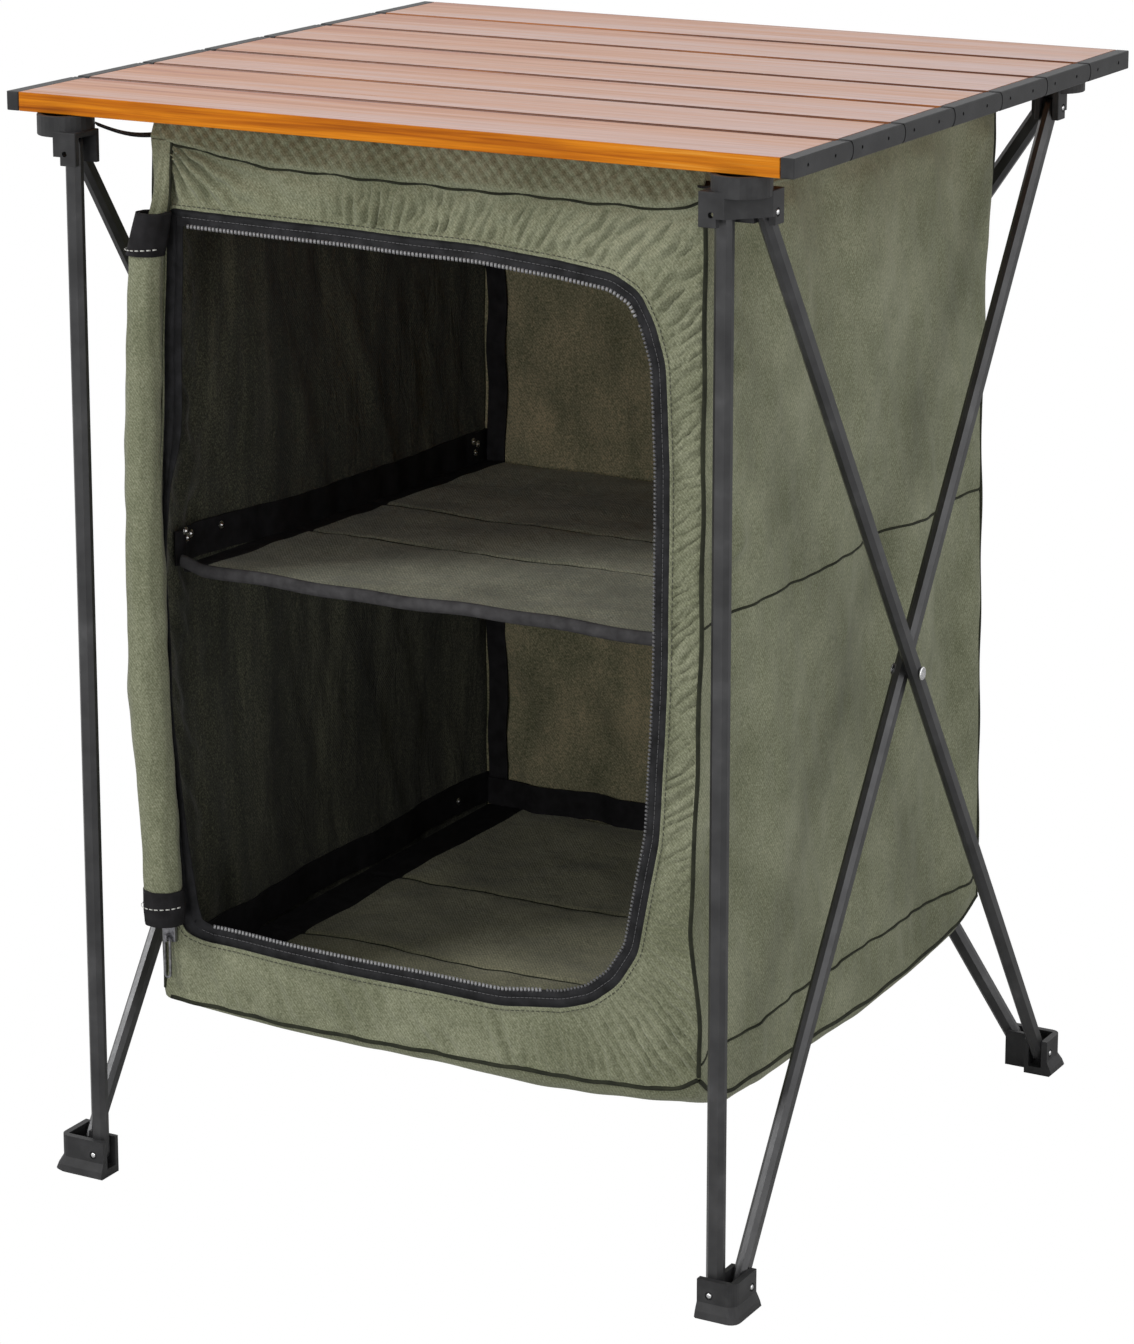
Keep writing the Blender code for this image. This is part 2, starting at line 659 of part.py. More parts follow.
def make_webbing():
    """Webbing along the shelf's ends that turns up the rear corners, and a band around the floor board."""
    wall, back = INSIDE_X - CLEAR, INSIDE_BACK - CLEAR
    face = wall - WEB_THICK
    front = BAG_FRONT_Y + SHELF_FRONT
    low, high = SHELF_TOP - BOARD_THICK, SHELF_TOP + WEB_HEIGHT
    for side, word in ((LEFT, "left"), (RIGHT, "right")):
        strip = box((side * wall, front, low), (side * face, back, high))
        join_to(strip, box((side * wall, back - WEB_THICK, low),
                           (side * (wall - WEB_HEIGHT), back, HEIGHT - WEB_TOP_DROP)))
        finish(strip, f"shelf_webbing_{word}", "webbing")
    low, high = FLOOR + CLEAR, FLOOR_BOARD_TOP + WEB_HEIGHT
    plan = [(-wall, front), (-face, front), (-face, back - WEB_THICK), (face, back - WEB_THICK),
            (face, front), (wall, front), (wall, back), (-wall, back)]
    band = prism([plan], high - low, placed_axes((0, 0, (low + high) / 2), (1, 0, 0), (0, 1, 0)))
    finish(band, "floor_webbing", "webbing")


def make_tape():
    """Zip tape on the front panel, around the opening."""
    middle = BAG_FRONT_Y - CLEAR - TAPE_THICK / 2
    tape = prism([door_outline(TAPE_WIDTH), door_outline(0.0)], TAPE_THICK, front_facing(middle))
    finish(tape, "zip_tape", "webbing")


def stadium(radius, high, low):
    """An upright outline with round ends, around two centres."""
    return arc((0, high), radius, 0, 180, 8) + arc((0, low), radius, 180, 360, 8)


def make_slider():
    """A slider on the tape's bottom run, with a loop that hangs in its lug."""
    face = BAG_FRONT_Y - TAPE_THICK - 2 * CLEAR
    middle = Vector((-SLIDER_START, face, BAG_BOTTOM_HEIGHT + DOOR_SILL - TAPE_WIDTH / 2))
    half = SLIDER_SIZE / 2
    body = box(middle - Vector((half.x, SLIDER_SIZE.y, half.z)), middle + Vector((half.x, 0, half.z)))
    eye = middle - Vector((0, SLIDER_SIZE.y + LUG_HOLE + CLEAR, half.z / 2))
    lug = LUG_HOLE + LUG_WALL
    across = Vector((LUG_WIDTH / 2, 0, 0))
    join_to(body, box(eye - across - Vector((0, lug, lug)), eye + across + Vector((0, lug, lug))))
    cut_away(body, rod(eye - 2 * across, eye + 2 * across, LUG_HOLE))
    finish(body, "zip_slider", "zip_metal", middle)
    radius = PULL_SIZE.x / 2
    high, low = PULL_WIRE / 2 - radius, PULL_WIRE / 2 - PULL_SIZE.z + radius
    outlines = [stadium(radius, high, low), stadium(radius - PULL_WIRE, high, low)]
    pull = prism(outlines, PULL_SIZE.y, placed_axes(eye, (1, 0, 0), (0, 0, 1)))
    finish(pull, "zip_pull", "zip_metal", eye)


def make_door_roll():
    """The door is rolled towards the opening's left edge; its black hem shows at both ends."""
    x, y = -ROLL_X, BAG_FRONT_Y - TAPE_THICK - 2 * CLEAR - ROLL_RADIUS
    top, bottom = HEIGHT - ROLL_TOP_DROP, BAG_BOTTOM_HEIGHT + ROLL_SILL

    def upright(low, high, radius):
        return rod((x, y, low), (x, y, high), radius, ROUND)

    finish(upright(bottom, top, ROLL_RADIUS), "door_roll", "canvas")
    upper = upright(top + CLEAR, top + HEM_TOP, ROLL_RADIUS)
    mouth = upright(top + HEM_TOP - HEM_MOUTH, top + HEM_TOP + CLEAR, ROLL_RADIUS - HEM_WALL)
    finish(cut_away(upper, mouth), "door_hem_top", "webbing")
    finish(upright(bottom - HEM_BOTTOM, bottom - CLEAR, ROLL_RADIUS), "door_hem_bottom", "webbing")


def strap(side, end):
    """A strap from a cup's wall down to the cabinet's top corner, sewn to the top hem inside the edges."""
    bag_y = BAG_FRONT if end == FRONT else BAG_BACK
    cup = corner_point(side, end, CUP_SPAN / 2, CUP_SPAN / 2, EAR_TOP + STRAP_RISE)
    corner = corner_point(side, end, BAG_HALF_WIDTH, bag_y, BAG_TOP + CLEAR)
    inward = Vector((corner.x - cup.x, corner.y - cup.y, 0)).normalized()
    start = cup + inward * (CUP_RADIUS + CLEAR)
    edge = corner - inward * STRAP_WIDTH / 2
    over = corner + inward * STRAP_WIDTH * 2
    sewn = over + inward * STRAP_LAP - Vector((0, 0, CLOTH))
    thick = Vector((0, 0, STRAP_THICK))
    side_view = [start, edge, over, sewn, sewn + thick, over + thick, edge + thick, start + thick]
    outline = [((point - corner).dot(inward), point.z - corner.z) for point in side_view]
    return prism([outline], STRAP_WIDTH, placed_axes(corner, inward, (0, 0, 1)))


clear_scene()
PARTS = new_collection("folding_camping_cupboard")
CUTTERS = new_collection("cutters")
PALETTE = {name: make_material(name) for name in MATERIALS}

for number in range(1, SLATS + 1):
    make_slat(number)
    make_end_caps(number)
for which in (FRONT, REAR):
    for hand in (LEFT, RIGHT):
        make_bracket(hand, which)
        make_foot(hand, which)
for hand in (LEFT, RIGHT):
    make_side_bars(hand)
    make_strut(hand)
make_back_bars()
make_bag_panels()
make_boards()
make_webbing()
make_tape()
make_slider()
make_door_roll()
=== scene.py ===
"""Folding camping cupboard: materials, cloth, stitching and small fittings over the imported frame."""
import math

import bmesh
import bpy
import numpy as np
from mathutils import Matrix, Vector


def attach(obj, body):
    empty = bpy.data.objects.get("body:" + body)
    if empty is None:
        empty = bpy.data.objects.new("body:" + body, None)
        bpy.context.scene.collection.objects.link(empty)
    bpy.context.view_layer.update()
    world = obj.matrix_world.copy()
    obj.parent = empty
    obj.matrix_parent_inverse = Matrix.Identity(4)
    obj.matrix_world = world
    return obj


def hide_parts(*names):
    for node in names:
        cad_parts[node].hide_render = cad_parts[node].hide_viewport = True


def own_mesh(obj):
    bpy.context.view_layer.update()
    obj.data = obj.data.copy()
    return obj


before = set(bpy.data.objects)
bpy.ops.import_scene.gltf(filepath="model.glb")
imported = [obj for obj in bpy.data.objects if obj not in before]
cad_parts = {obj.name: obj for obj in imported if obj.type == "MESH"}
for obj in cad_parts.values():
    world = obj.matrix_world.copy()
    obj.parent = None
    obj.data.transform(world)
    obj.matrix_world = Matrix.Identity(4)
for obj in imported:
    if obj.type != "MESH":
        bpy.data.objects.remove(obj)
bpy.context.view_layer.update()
scene = bpy.context.scene

# Places shared with the CAD, in metres
HEIGHT = 0.655
FRAME_Y = -0.00575
HALF = 0.1805
FRONT, BACK = FRAME_Y - 0.1885, FRAME_Y + 0.2005
PIN = 0.2055
SHELF_TOP, SHELF_FRONT = HEIGHT - 0.284, FRONT + 0.022
FLOOR_TOP = 0.1208
OPEN_LEFT, OPEN_RIGHT = -0.168, 0.152
OPEN_TOP, OPEN_BOTTOM = HEIGHT - 0.075, HEIGHT - 0.500

# Thicknesses and cord radii in metres, and the sharpest smooth angles in degrees
CANVAS_THICK, TAPE_THICK, BOARD_THICK, BOTTOM_THICK = 0.0012, 0.0009, 0.0040, 0.0014
CREASE_RADIUS, STITCH_RADIUS, TOP_RADIUS, SEAM_RADIUS = 0.0006, 0.0008, 0.0010, 0.0013
CANVAS_ANGLE, TRIM_ANGLE, BAND_ANGLE, TAPE_ANGLE = 70.0, 60.0, 50.0, 40.0
TINY = 1e-12

# The direction that the cupboard's front looks in
FORWARD = (0, -1, 0)

# Bodies that carry the cloth, its two sides, and the frame's corners
FRONT_LEFT, REAR_LEFT, REAR_RIGHT = "front_left_bracket", "rear_left_bracket", "rear_right_bracket"
SIDES = (("left", -1, REAR_LEFT), ("right", 1, REAR_RIGHT))
CORNERS = (("front_left", -1, -1), ("front_right", 1, -1), ("rear_left", -1, 1), ("rear_right", 1, 1))

# Camera: lens and sensor in millimetres, angles in degrees, place and range in metres
LENS, SENSOR, SHIFT_Y = 113.46, 36.0, -0.165
CAMERA_TURN, CAMERA_TILT = 28.848, 13.199
CAMERA_PLACE, CAMERA_RANGE = (1.1912, -2.18215, 1.0079), 50.0

# Stage
WORLD_STRENGTH = 0.34
WHITE = (1.0, 1.0, 1.0, 1.0)
FLOOR_GREY = (0.86, 0.86, 0.86, 1.0)
FLOOR_CORNERS = ((-6, -6, 0), (6, -6, 0), (6, 6, 0), (-6, 6, 0))


# Camera, light and stage

def new_object(name, data):
    thing = bpy.data.objects.new(name, data)
    scene.collection.objects.link(thing)
    return thing


def set_camera():
    camera = bpy.data.cameras.new("camera")
    camera.lens = LENS
    camera.sensor_width = SENSOR
    camera.shift_y = SHIFT_Y
    camera.clip_end = CAMERA_RANGE
    turn, tilt = math.radians(CAMERA_TURN), math.radians(CAMERA_TILT)
    back = Vector((math.sin(turn) * math.cos(tilt), -math.cos(turn) * math.cos(tilt), math.sin(tilt)))
    right = Vector((math.cos(turn), math.sin(turn), 0.0))
    rotation = Matrix((right, back.cross(right), back)).transposed().to_4x4()
    scene.camera = new_object("camera", camera)
    scene.camera.matrix_world = Matrix.Translation(CAMERA_PLACE) @ rotation


def area_light(name, place, aim, side, power):
    """A square lamp; its side is in metres and its power in watts."""
    light = bpy.data.lights.new(name, "AREA")
    light.shape = "RECTANGLE"
    light.size, light.size_y = side, side
    light.energy = power
    holder = new_object(name, light)
    holder.location = place
    holder.rotation_euler = (Vector(aim) - Vector(place)).to_track_quat("-Z", "Y").to_euler()


def add_node(tree, kind, inputs=(), **settings):
    """A new node; inputs gives its sockets, by name or number, a number, a tuple or another node's output."""
    node = tree.nodes.new(kind)
    for key, value in settings.items():
        setattr(node, key, value)
    for key, value in dict(inputs).items():
        if isinstance(value, bpy.types.NodeSocket):
            tree.links.new(value, node.inputs[key])
        else:
            node.inputs[key].default_value = value
    return node


def seen_straight(tree):
    """1 for camera, glossy and transmission rays, which see plain white, and 0 for every other ray."""
    path = add_node(tree, "ShaderNodeLightPath")
    share = path.outputs["Is Camera Ray"]
    for other in ("Is Glossy Ray", "Is Transmission Ray"):
        inputs = {0: share, 1: path.outputs[other]}
        share = add_node(tree, "ShaderNodeMath", inputs, operation="MAXIMUM").outputs[0]
    return share


def set_world():
    world = bpy.data.worlds.new("studio")
    world.use_nodes = True
    tree = world.node_tree
    tree.nodes.clear()
    soft = add_node(tree, "ShaderNodeBackground", {"Color": WHITE, "Strength": WORLD_STRENGTH})
    white = add_node(tree, "ShaderNodeBackground", {"Color": WHITE, "Strength": 1.0})
    seen = seen_straight(tree)
    mix = add_node(tree, "ShaderNodeMixShader", {"Fac": seen, 1: soft.outputs[0], 2: white.outputs[0]})
    add_node(tree, "ShaderNodeOutputWorld", {"Surface": mix.outputs[0]})
    scene.world = world
    scene.view_settings.view_transform = "Standard"


def set_floor():
    """A matte floor that the camera sees as plain white."""
    mesh = bpy.data.meshes.new("floor")
    mesh.from_pydata(FLOOR_CORNERS, [], [(0, 1, 2, 3)])
    floor = new_object("floor", mesh)
    material = bpy.data.materials.new("floor")
    material.use_nodes = True
    tree = material.node_tree
    tree.nodes.clear()
    matte = add_node(tree, "ShaderNodeBsdfDiffuse", {"Color": FLOOR_GREY})
    glow = add_node(tree, "ShaderNodeEmission", {"Color": WHITE, "Strength": 1.0})
    seen = add_node(tree, "ShaderNodeLightPath").outputs["Is Camera Ray"]
    mix = add_node(tree, "ShaderNodeMixShader", {"Fac": seen, 1: matte.outputs[0], 2: glow.outputs[0]})
    add_node(tree, "ShaderNodeOutputMaterial", {"Surface": mix.outputs[0]})
    mesh.materials.append(material)


# Materials

# The colour mix node's share and its two colours, by number
MIX_SOCKETS = (0, 6, 7)
# How much a face looks up: flat on top, or leaning into a groove
FLAT_UP, LEANING = 0.96, 0.3
# Lengths of a wave in the cloths' weaves, in metres
THREAD_STEP, TWILL_STEP, RIB_STEP = 0.0011, 0.0021, 0.0012


class Shader:
    """A material whose nodes read places in metres, in the frame at rest."""

    def __init__(self, name, roughness=0.5, metallic=0.0, specular=0.5):
        self.material = bpy.data.materials.new(name)
        self.material.use_nodes = True
        self.tree = self.material.node_tree
        self.surface = self.tree.nodes["Principled BSDF"]
        self.surface.inputs["Roughness"].default_value = roughness
        self.surface.inputs["Metallic"].default_value = metallic
        self.surface.inputs["Specular IOR Level"].default_value = specular
        self.place = self.add("ShaderNodeTexCoord").outputs

    def add(self, kind, inputs=(), **settings):
        return add_node(self.tree, kind, inputs, **settings)

    def give(self, key, source):
        """Links one of the surface's own inputs."""
        self.tree.links.new(source, self.surface.inputs[key])

    def noise(self, scale, detail=3.0, rough=0.55, shift=(0.0, 0.0, 0.0), distortion=0.0):
        """Noise whose scale is in waves per metre, one number or one for each axis."""
        scale = scale if isinstance(scale, tuple) else (scale, scale, scale)
        inputs = {"Scale": scale, "Location": shift, "Vector": self.place["Object"]}
        place = self.add("ShaderNodeMapping", inputs).outputs["Vector"]
        node = self.add("ShaderNodeTexNoise", {"Scale": 1.0, "Detail": detail, "Roughness": rough,
                                               "Distortion": distortion, "Vector": place})
        return node.outputs["Fac"]

    def math(self, operation, *values, clamp=False):
        node = self.add("ShaderNodeMath", dict(enumerate(values)), operation=operation, use_clamp=clamp)
        return node.outputs[0]

    def plus(self, first, second):
        return self.math("ADD", first, second)

    def minus(self, first, second):
        return self.math("SUBTRACT", first, second)

    def times(self, first, second):
        return self.math("MULTIPLY", first, second)

    def waves(self, value, step):
        """A sine with one wave for each step."""
        return self.math("SINE", self.times(value, 2 * math.pi / step))

    def ramp(self, source, stops):
        """Colours between stops, each a place and a colour."""
        node = self.add("ShaderNodeValToRGB", {"Fac": source})
        elements = node.color_ramp.elements
        for spot in (0, -1):
            elements[spot].position = stops[spot][0]
            elements[spot].color = (*stops[spot][1], 1.0)
        for position, colour in stops[1:-1]:
            elements.new(position).color = (*colour, 1.0)
        return node.outputs["Color"]

    def mix(self, share, first, second, kind="MIX"):
        inputs = dict(zip(MIX_SOCKETS, (share, first, second)))
        return self.add("ShaderNodeMix", inputs, data_type="RGBA", blend_type=kind).outputs[2]

    def split(self, source):
        return self.add("ShaderNodeSeparateXYZ", {0: source}).outputs

    def rough(self, source, low, high):
        node = self.add("ShaderNodeMapRange", {"To Min": low, "To Max": high, "Value": source})
        self.give("Roughness", node.outputs[0])

    def bump(self, height, strength, distance, under=None):
        inputs = {"Height": height, "Strength": strength, "Distance": distance}
        if under:
            inputs["Normal"] = under
        return self.add("ShaderNodeBump", inputs).outputs["Normal"]


def lin(*screen):
    """A colour as linear light from its 8-bit values on screen, by the sRGB curve."""
    return tuple(c / 255 / 12.92 if c <= 10 else ((c / 255 + 0.055) / 1.055) ** 2.4 for c in screen)


def wood_material(index):
    """Varnished slat: grain along X, painted mauve sky reflection on top, amber at its front, dark grooves.
    """
    s = Shader(f"wood_{index}", specular=0.14)
    shift = (index * 3.7, index * 1.9, index * 5.3)
    grain = s.noise((5.0, 240.0, 240.0), 4.0, 0.62, shift, 0.6)
    broad = s.noise((2.2, 60.0, 60.0), 2.0, 0.5, shift, 0.9)
    fibre = s.noise((26.0, 900.0, 900.0), 2.0, 0.6, shift)
    mixed = s.plus(s.times(grain, 0.55), s.times(broad, 0.45))
    depth = s.split(s.place["Generated"])[1]
    leftness = s.times(s.split(s.place["Object"])[0], -0.8)
    # warm runs from 0, the painted mauve reflection of the sky, to 1, the wood's own amber: more amber to the
    # left, towards each slat's rear, and varying with the grain
    warm = s.plus(s.times(s.minus(depth, 0.5), 0.5), leftness)
    warm = s.plus(s.times(s.minus(0.5, mixed), 2.6), warm)
    warm = s.math("ADD", warm, 0.48, clamp=True)
    # The top's colours run from a painted mauve reflection of the white sky at 0 to the wood's own amber at 1
    top = s.ramp(warm, [(0.0, lin(218, 184, 178)), (0.35, lin(214, 168, 150)), (0.65, lin(208, 142, 98)),
                        (1.0, lin(178, 94, 40))])
    rim = s.ramp(depth, [(0.0, (0.70, 0.40, 0.12)), (0.035, (1.0, 0.98, 0.96)), (0.93, (1.0, 1.0, 1.0)),
                         (0.985, (0.42, 0.27, 0.15))])
    top = s.mix(0.85, top, rim, "MULTIPLY")
    edge = s.ramp(mixed, [(0.30, lin(112, 52, 8)), (0.43, lin(176, 96, 12)), (0.54, lin(206, 124, 20)),
                          (0.68, lin(230, 168, 74))])
    upward = s.split(s.place["Normal"])[2]
    colour = s.mix(s.math("GREATER_THAN", upward, FLAT_UP), edge, top)
    if index > 0:
        groove = s.ramp(mixed, [(0.35, lin(70, 34, 16)), (0.52, lin(112, 60, 24)), (0.66, lin(196, 118, 48))])
        leaning = s.times(s.math("GREATER_THAN", upward, LEANING), s.math("LESS_THAN", upward, FLAT_UP))
        colour = s.mix(leaning, colour, groove)
    streak = s.ramp(fibre, [(0.35, (0.80, 0.74, 0.70)), (0.55, (1.0, 1.0, 1.0)), (0.7, (1.08, 1.06, 1.04))])
    s.give("Base Color", s.mix(0.7, colour, streak, "MULTIPLY"))
    s.rough(grain, 0.24, 0.38)
    s.give("Normal", s.bump(fibre, 0.03, 0.0002, s.bump(grain, 0.08, 0.0005)))
    return s.material


def moulded_material():
    """Moulded plastic: slightly cloudy, with a fine grain."""
    s = Shader("moulded", specular=0.28)
    cloud = s.noise(90.0)
    greys = [(0.3, lin(34, 34, 35)), (0.5, lin(42, 42, 43)), (0.7, lin(52, 52, 53))]
    s.give("Base Color", s.ramp(cloud, greys))
    s.rough(cloud, 0.42, 0.58)
    s.give("Normal", s.bump(s.noise(2600.0, 2.0), 0.25, 0.0003))
    return s.material


def tube_material():
    """Anodised tube: faint drawing lines, slightly worn."""
    s = Shader("tube", metallic=0.55)
    cloud = s.noise(40.0)
    lines = s.noise((900.0, 900.0, 12.0), 2.0)
    greys = [(0.3, lin(52, 52, 53)), (0.6, lin(66, 66, 67)), (0.75, lin(80, 80, 81))]
    s.give("Base Color", s.ramp(cloud, greys))
    s.rough(lines, 0.27, 0.42)
    s.give("Normal", s.bump(lines, 0.06, 0.0003))
    return s.material


def metal_material(name, metallic, noise, dark, light, rough):
    """Bare metal, a little cloudy."""
    s = Shader(name, metallic=metallic)
    cloud = s.noise(*noise)
    s.give("Base Color", s.ramp(cloud, [(0.3, dark), (0.7, light)]))
    s.rough(cloud, *rough)
    return s.material


def canvas_material(name, dark, middle, light, flat=False, strength=0.5, streak=(16.0, 16.0, 16.0)):
    """Twill cloth: threads both ways, a fine diagonal line, slubs, and soft colour changes."""
    s = Shader(name, 0.86, specular=0.2)
    x, y, z = s.split(s.place["Object"])
    across, along = (x, y) if flat else (s.plus(x, y), z)
    weave = s.times(s.waves(across, THREAD_STEP), s.waves(along, THREAD_STEP))
    twill = s.waves(s.plus(across, s.times(along, 0.8)), TWILL_STEP)
    slub = s.noise(760.0, 3.0, 0.70)
    cloud = s.noise(streak, 4.0, 0.6)
    tone = s.plus(s.times(slub, 0.60), s.times(cloud, 0.40))
    colour = s.ramp(tone, [(0.37, dark), (0.5, middle), (0.63, light)])
    threads = s.plus(s.times(weave, 0.28), s.times(twill, 0.22))
    # Painted light and shade of the threads, multiplied over the cloth's colour; the bump below shapes them
    # as well
    shade = s.ramp(s.plus(threads, 0.5), [(0.0, (0.60, 0.60, 0.60)), (1.0, (1.30, 1.30, 1.30))])
    s.give("Base Color", s.mix(0.7, colour, shade, "MULTIPLY"))
    s.surface.inputs["Sheen Weight"].default_value = 0.12
    s.surface.inputs["Sheen Roughness"].default_value = 0.5
    wrinkle = s.noise((60.0, 60.0, 34.0), 3.0, 0.5, distortion=0.8)
    under = s.bump(slub, 0.30, 0.0004, s.bump(wrinkle, strength, 0.0030))
    s.give("Normal", s.bump(threads, 0.35, 0.0005, under))
    return s.material


def webbing_material(name, dark, light):
    """Ribbed tape: fine cross ribs over a soft cloud."""
    s = Shader(name, 0.7, specular=0.12)
    x, y, z = s.split(s.place["Object"])
    level = s.plus(x, y)
    ribs = s.times(s.waves(s.plus(level, z), RIB_STEP), s.waves(s.minus(level, z), RIB_STEP))
    cloud = s.noise(120.0)
    s.give("Base Color", s.ramp(cloud, [(0.3, dark), (0.7, light)]))
    s.give("Normal", s.bump(ribs, 0.35, 0.0004, s.bump(cloud, 0.2, 0.001)))
    return s.material


def thread_material(name, colour):
    s = Shader(name, 0.6)
    dark = tuple(c * 0.75 for c in colour)
    s.give("Base Color", s.ramp(s.noise(3000.0, 2.0), [(0.3, dark), (0.7, colour)]))
    return s.material


WOOD = [wood_material(index) for index in range(7)]
MOULDED = moulded_material()
TUBE = tube_material()
RIVET = metal_material("rivet", 1.0, (700.0, 2.0), lin(190, 190, 192), lin(232, 232, 232), (0.18, 0.34))
ZIP_METAL = metal_material("zip_metal", 0.9, (500.0,), lin(104, 104, 107), lin(150, 150, 154), (0.28, 0.48))
CANVAS = canvas_material("canvas", lin(96, 99, 76), lin(121, 124, 100), lin(147, 149, 125))
LINING = canvas_material("lining", lin(50, 50, 40), lin(62, 62, 50), lin(76, 76, 62))
# A darker copy of the lining for the side walls' insides: painted shade, as the left wall's inside faces away
# from the light
LINING_PAINTED_SHADE = canvas_material("lining_painted_shade", lin(24, 25, 19), lin(54, 55, 44), lin(98, 98, 80),
                              strength=0.7, streak=(40.0, 40.0, 5.0))
# A much lighter copy of the lining for the back wall's inside: painted light where the lamps shine in through
# the door
LINING_PAINTED_LIGHT = canvas_material("lining_painted_light", lin(88, 90, 68), lin(130, 126, 100), lin(172, 158, 126),
                              strength=0.9, streak=(26.0, 26.0, 14.0))
BOARD_CLOTH = canvas_material("board_cloth", lin(92, 93, 78), lin(122, 123, 104), lin(158, 158, 136), True)
# A lighter copy of the board cloth for the floor board: painted light inside the cupboard
BOARD_CLOTH_PAINTED_LIGHT = canvas_material("board_cloth_painted_light", lin(98, 97, 78), lin(130, 128, 104), lin(162, 159, 132), True)
SEAM = webbing_material("seam", lin(32, 34, 26), lin(50, 52, 40))
WEBBING = webbing_material("webbing", lin(22, 21, 22), lin(36, 35, 37))
TAPE_CLOTH = webbing_material("tape_cloth", lin(26, 26, 27), lin(46, 46, 48))
BINDING = webbing_material("binding", lin(48, 47, 48), lin(72, 71, 72))
THREAD = thread_material("thread", lin(206, 206, 200))
# Lit and shaded copies of the same teeth: the lighter is painted light on the top and bottom runs, the darker
# painted shade on the right upright; the line along the tape's middle is drawn in the darker too
TEETH = thread_material("teeth", lin(160, 160, 162))
DULL_TEETH = thread_material("dull_teeth", lin(104, 104, 106))
DARK_THREAD = thread_material("dark_thread", lin(60, 61, 50))


# Finishing a piece

def flatten_x(thing):
    """Gives cloth that spans the width its own copy of its mesh."""
    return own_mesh(thing)


def flatten_y(thing):
    """Gives cloth that spans the depth its own copy of its mesh."""
    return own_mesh(thing)


def finish(thing, material, body, flatten=None, angle=None, lining=None):
    """Gives a piece its looks and its body, and its own mesh through flatten when that is given."""
    thing.data.materials.append(material)
    thing.data.shade_smooth()
    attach(thing, body)
    if lining:
        line_inside(thing, lining)
    if angle:
        thing.data.set_sharp_from_angle(angle=math.radians(angle))
    if flatten:
        flatten(thing)


def line_inside(thing, lining):
    """Gives a closed sheet's second side the lining material."""
    thing.data.materials.append(lining)
    half = len(thing.data.vertices) // 2
    for face in thing.data.polygons:
        if all(v >= half for v in face.vertices):
            face.material_index = 1


# Meshes

def new_mesh(name, points, faces):
    mesh = bpy.data.meshes.new(name)
    mesh.from_pydata([tuple(p) for p in points], [], [tuple(f) for f in faces])
    mesh.update()
    return new_object(name, mesh)


def closed_mesh(name, points, faces):
    """A closed mesh whose faces all look outwards."""
    thing = new_mesh(name, points, faces)
    work = bmesh.new()
    work.from_mesh(thing.data)
    bmesh.ops.recalc_face_normals(work, faces=work.faces)
    work.to_mesh(thing.data)
    work.free()
    return thing


def places(x, y, z):
    """Points from their coordinates, each an array or one number."""
    return np.stack(np.broadcast_arrays(x, y, z), axis=-1)


def unit(values):
    """Vectors at length 1."""
    return values / np.maximum(np.linalg.norm(values, axis=-1, keepdims=True), TINY)


def reach_along(path):
    """The length of a path up to each of its points."""
    return np.concatenate([[0.0], np.cumsum(np.linalg.norm(np.diff(path, axis=0), axis=1))])


def sampled(at, reach, values):
    """What a path's points or directions are at given lengths along it."""
    return np.stack([np.interp(at, reach, column) for column in values.T], axis=-1)


def grid_faces(rows, columns, wrap=False, start=0, turned=False):
    faces = []
    for i in range(rows - 1):
        for j in range(columns if wrap else columns - 1):
            k = (j + 1) % columns
            face = (start + i * columns + j, start + i * columns + k,
                    start + (i + 1) * columns + k, start + (i + 1) * columns + j)
            faces.append(face[::-1] if turned else face)
    return faces


def shell_faces(rows, columns, wrap=False):
    """The faces of a closed sheet: its first side, its second side and the rim that joins them."""
    half, last = rows * columns, (rows - 1) * columns
    faces = grid_faces(rows, columns, wrap) + grid_faces(rows, columns, wrap, half, True)
    for j in range(columns if wrap else columns - 1):
        k = (j + 1) % columns
        faces.append((k, j, half + j, half + k))
        faces.append((last + j, last + k, half + last + k, half + last + j))
    if not wrap:
        for i in range(rows - 1):
            p, q = i * columns, (i + 1) * columns
            faces.append((p, q, half + q, half + p))
            p, q = p + columns - 1, q + columns - 1
            faces.append((q, p, half + p, half + q))
    return faces


def ring_faces(count, sides, start=0):
    """The faces of a row of rings with closed ends."""
    last = start + (count - 1) * sides
    ends = [tuple(range(start, start + sides))[::-1], tuple(range(last, last + sides))]
    return grid_faces(count, sides, True, start) + ends


def cloth(name, grid, out, wrap=False, thick=CANVAS_THICK):
    """A closed sheet of cloth around a grid of points (rows, columns, 3), its first side facing out."""
    spread = np.cross(grid[-1] - grid[0], np.roll(grid[0], -1, axis=0) - np.roll(grid[0], 1, axis=0))
    if not wrap:
        spread = spread[1:-1]
    if np.sum(spread * np.asarray(out)) < 0:
        grid = grid[:, ::-1]
    if wrap:
        across = (np.roll(grid, -1, axis=1) - np.roll(grid, 1, axis=1)) / 2
    else:
        across = np.gradient(grid, axis=1)
    offset = unit(np.cross(np.gradient(grid, axis=0), across)) * thick / 2
    points = np.concatenate([(grid + offset).reshape(-1, 3), (grid - offset).reshape(-1, 3)])
    return closed_mesh(name, points, shell_faces(*grid.shape[:2], wrap))


def tube(name, path, radius, sides=8):
    """A round cord along a path."""
    tangent = unit(np.gradient(path, axis=0))
    turn = np.arange(sides)[:, None] * 2 * math.pi / sides
    side = np.cross(tangent[0], (0.31, 0.57, 0.76))
    rings = []
    for spot, ahead in zip(path, tangent):
        side = unit(side - ahead * side.dot(ahead))
        rings.append(spot + radius * (np.cos(turn) * side + np.sin(turn) * np.cross(ahead, side)))
    return new_mesh(name, np.concatenate(rings), ring_faces(len(path), sides))


def seam_cord(name, path, radius, body, flatten, material=SEAM):
    finish(tube(name, path, radius), material, body, flatten)


# How high a dash of thread stands at its start, middle and end, and how deep it roots, in its lifts
DASH_RISE, DASH_ROOT = (0.15, 1.0, 0.15), 0.4


